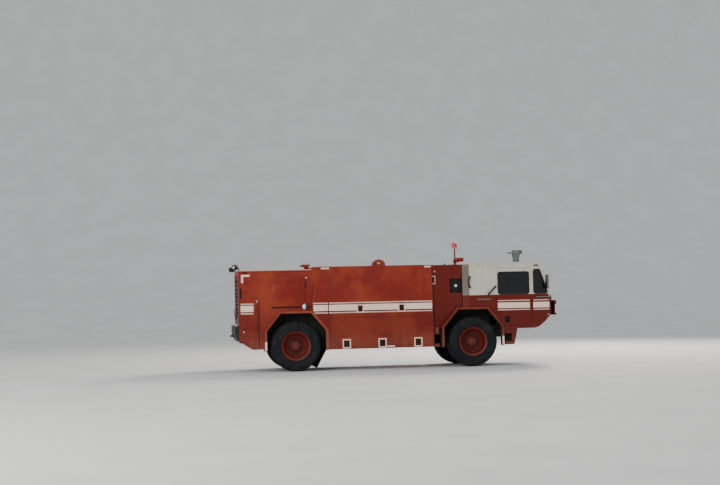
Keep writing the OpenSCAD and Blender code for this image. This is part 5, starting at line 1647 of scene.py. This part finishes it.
class TENDER_OT_ends(bpy.types.Operator):
    """Nose slats, mirror glass, blank number plates, rear door furniture, splash curtain and step plates"""

    bl_idname = "tender.ends"
    bl_label = "Ends"

    def execute(self, context):
        # Blank number plate on the slope under the bumper
        spot = (FRONT_X + 2.122, 0, 1.293)
        number = plate(0.46, 0.115, 0.005, 0.01, spot, (0, 1, 0), (0.652, 0, 0.758), edge=0.001)
        add("front_number_plate", [number], "plate_pale")
        # Low slats across the cab's front, following its lean
        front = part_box("cab_lower")[1].x - 0.004
        slats = []
        for z in (1.752, 1.77, 1.788):
            x = front - 0.008 * (1.8 - z) / 0.34
            slats.append(plate(1.3, 0.009, 0.01, 0.003, (x, 0, z), (0, 1, 0), (0, 0, 1), edge=0.002, per=3))
        add("nose_slats", slats, "dark_red")
        # Mirror glass on the back of each head, its shell's rim and the bracket over it
        x, y, z = FRONT_X + 2.0405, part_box("mirrors")[1].y - 0.1, 2.25
        glass = [plate(0.176, 0.35, 0.003, 0.02, (x, y * side, z), (0, -1, 0), edge=0.001) for side in SIDES.values()]
        rim = frame_ring(0.2, 0.38, 0.024, 0.012, 0.0045, (x, y, z), (0, -1, 0), (0, 0, 1))
        bracket = plate(0.094, 0.06, 0.06, 0.01, (4.038, 1.16, 2.519), *FLAT, edge=0.004)
        add("mirror_glass", glass, "mirror")
        pair("mirror_rims", [rim], "black")
        pair("mirror_brackets", [bracket], "tube_cream")
        # Small corner mirrors on arms from the foot of each mirror's tube
        arm = tube(smooth_path([(4.197, 1.242, 1.88), (4.26, 1.238, 1.9), (4.32, 1.228, 1.965)], 6, 0.03), 0.008, 10)
        parts = []
        for side in SIDES.values():
            across, up = (0.82, 0, 0.572), (0, 0.97 * side, 0.24)
            parts.append(plate(0.15, 0.11, 0.014, 0.02, (4.332, side * 1.222, 1.978), across, up, edge=0.004))
            parts.append(moved(arm, flip=(1, side, 1)))
        add("corner_mirrors", parts, "tube_cream")
        # Rear: door handles, number plate, rivets and reversing lamps on the bumper's ends
        path = [(TAIL_X + x, 0.757, z) for x, z in ((0.002, 1.5), (-0.035, 1.5), (-0.035, 1.66), (0.002, 1.66))]
        pair("engine_door_handles", [tube(smooth_path(path, 7, 0.02), 0.009, 14)], "black", body="engine_lid")
        number = plate(0.46, 0.115, 0.004, 0.01, (TAIL_X - 0.1095, 0.62, 1.128), (0, -1, 0))
        add("rear_number_plate", [number], "grille_grey")
        spots = [(TAIL_X, y, z) for y in (0.83, 1.14) for z in np.arange(1.55, 2.66, 0.1)]
        pair("rear_rivets", [studs(spots, 0.006, 0.0035, "-x", 8, 0.5)], "red", 50)
        lamp = plate(0.04, 0.09, 0.045, 0.008, (TAIL_X - 0.07, 1.06, 1.233), *FLAT, edge=0.006)
        pair("reversing_lamps", [lamp], "lamp_white")
        # Rubber splash curtain on a bar between the arches ahead of the rear wheels
        sheet = [(-1.95, 0.59), (-1.938, 0.59), (-1.938, 0.54), (-2.187, 0.088), (-2.199, 0.088), (-1.95, 0.545)]
        add("splash_curtain", [prism(sheet, -1.17, 1.17)], "void")
        add("splash_curtain_bar", [tube([(-1.944, -1.2, 0.585), (-1.944, 1.2, 0.585)], 0.011, 14)], "chassis")
        # Steps: a kick plate along the foot of each side hole, and a raised tread
        low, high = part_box("cab_steps")
        kick = (low.x + 0.008, low.x + 0.222, low.z + 0.025, low.z + 0.088)
        pair("step_kick_plates", [wall_box(*kick, high.y - 0.002, 0.003, 0.01)], "cab_red_shaded")
        spot = (low.x + 0.14, high.y - 0.095, low.z + 0.029)
        pair("step_treads", [plate(0.24, 0.15, 0.005, 0.006, spot, *FLAT, edge=0.001, per=3)], "steel")
        return {"FINISHED"}


OPERATORS = (
    TENDER_OT_stage, TENDER_OT_paintwork, TENDER_OT_doors, TENDER_OT_tyres, TENDER_OT_wheels, TENDER_OT_stripes,
    TENDER_OT_panels, TENDER_OT_cab_fittings, TENDER_OT_lamps, TENDER_OT_roof, TENDER_OT_turret, TENDER_OT_cabin,
    TENDER_OT_underside, TENDER_OT_ends,
)


class TENDER_PT_tools(bpy.types.Panel):
    """The tender's colours, sizes and building steps"""

    bl_idname = "TENDER_PT_tools"
    bl_label = "Crash tender"
    bl_space_type = "VIEW_3D"
    bl_region_type = "UI"
    bl_category = "Tender"

    def draw(self, context):
        layout = self.layout
        for group in (context.scene.tender_look, context.scene.tender_sizes):
            box = layout.box()
            for key in type(group).bl_rna.properties.keys():
                if key not in ("rna_type", "name"):
                    box.prop(group, key)
        for operator in OPERATORS:
            layout.operator(operator.bl_idname)


CLASSES = (TenderLook, TenderSizes, *OPERATORS, TENDER_PT_tools)


def register():
    for cls in CLASSES:
        bpy.utils.register_class(cls)
    bpy.types.Scene.tender_look = bpy.props.PointerProperty(type=TenderLook)
    bpy.types.Scene.tender_sizes = bpy.props.PointerProperty(type=TenderSizes)


def unregister():
    del bpy.types.Scene.tender_sizes
    del bpy.types.Scene.tender_look
    for cls in reversed(CLASSES):
        bpy.utils.unregister_class(cls)


def main():
    register()
    make_finishes(bpy.context.scene.tender_look)
    for operator in OPERATORS:
        group, name = operator.bl_idname.split(".")
        if getattr(getattr(bpy.ops, group), name)() != {"FINISHED"}:
            raise RuntimeError(operator.bl_label + " did not finish")


if __name__ == "__main__":
    main()
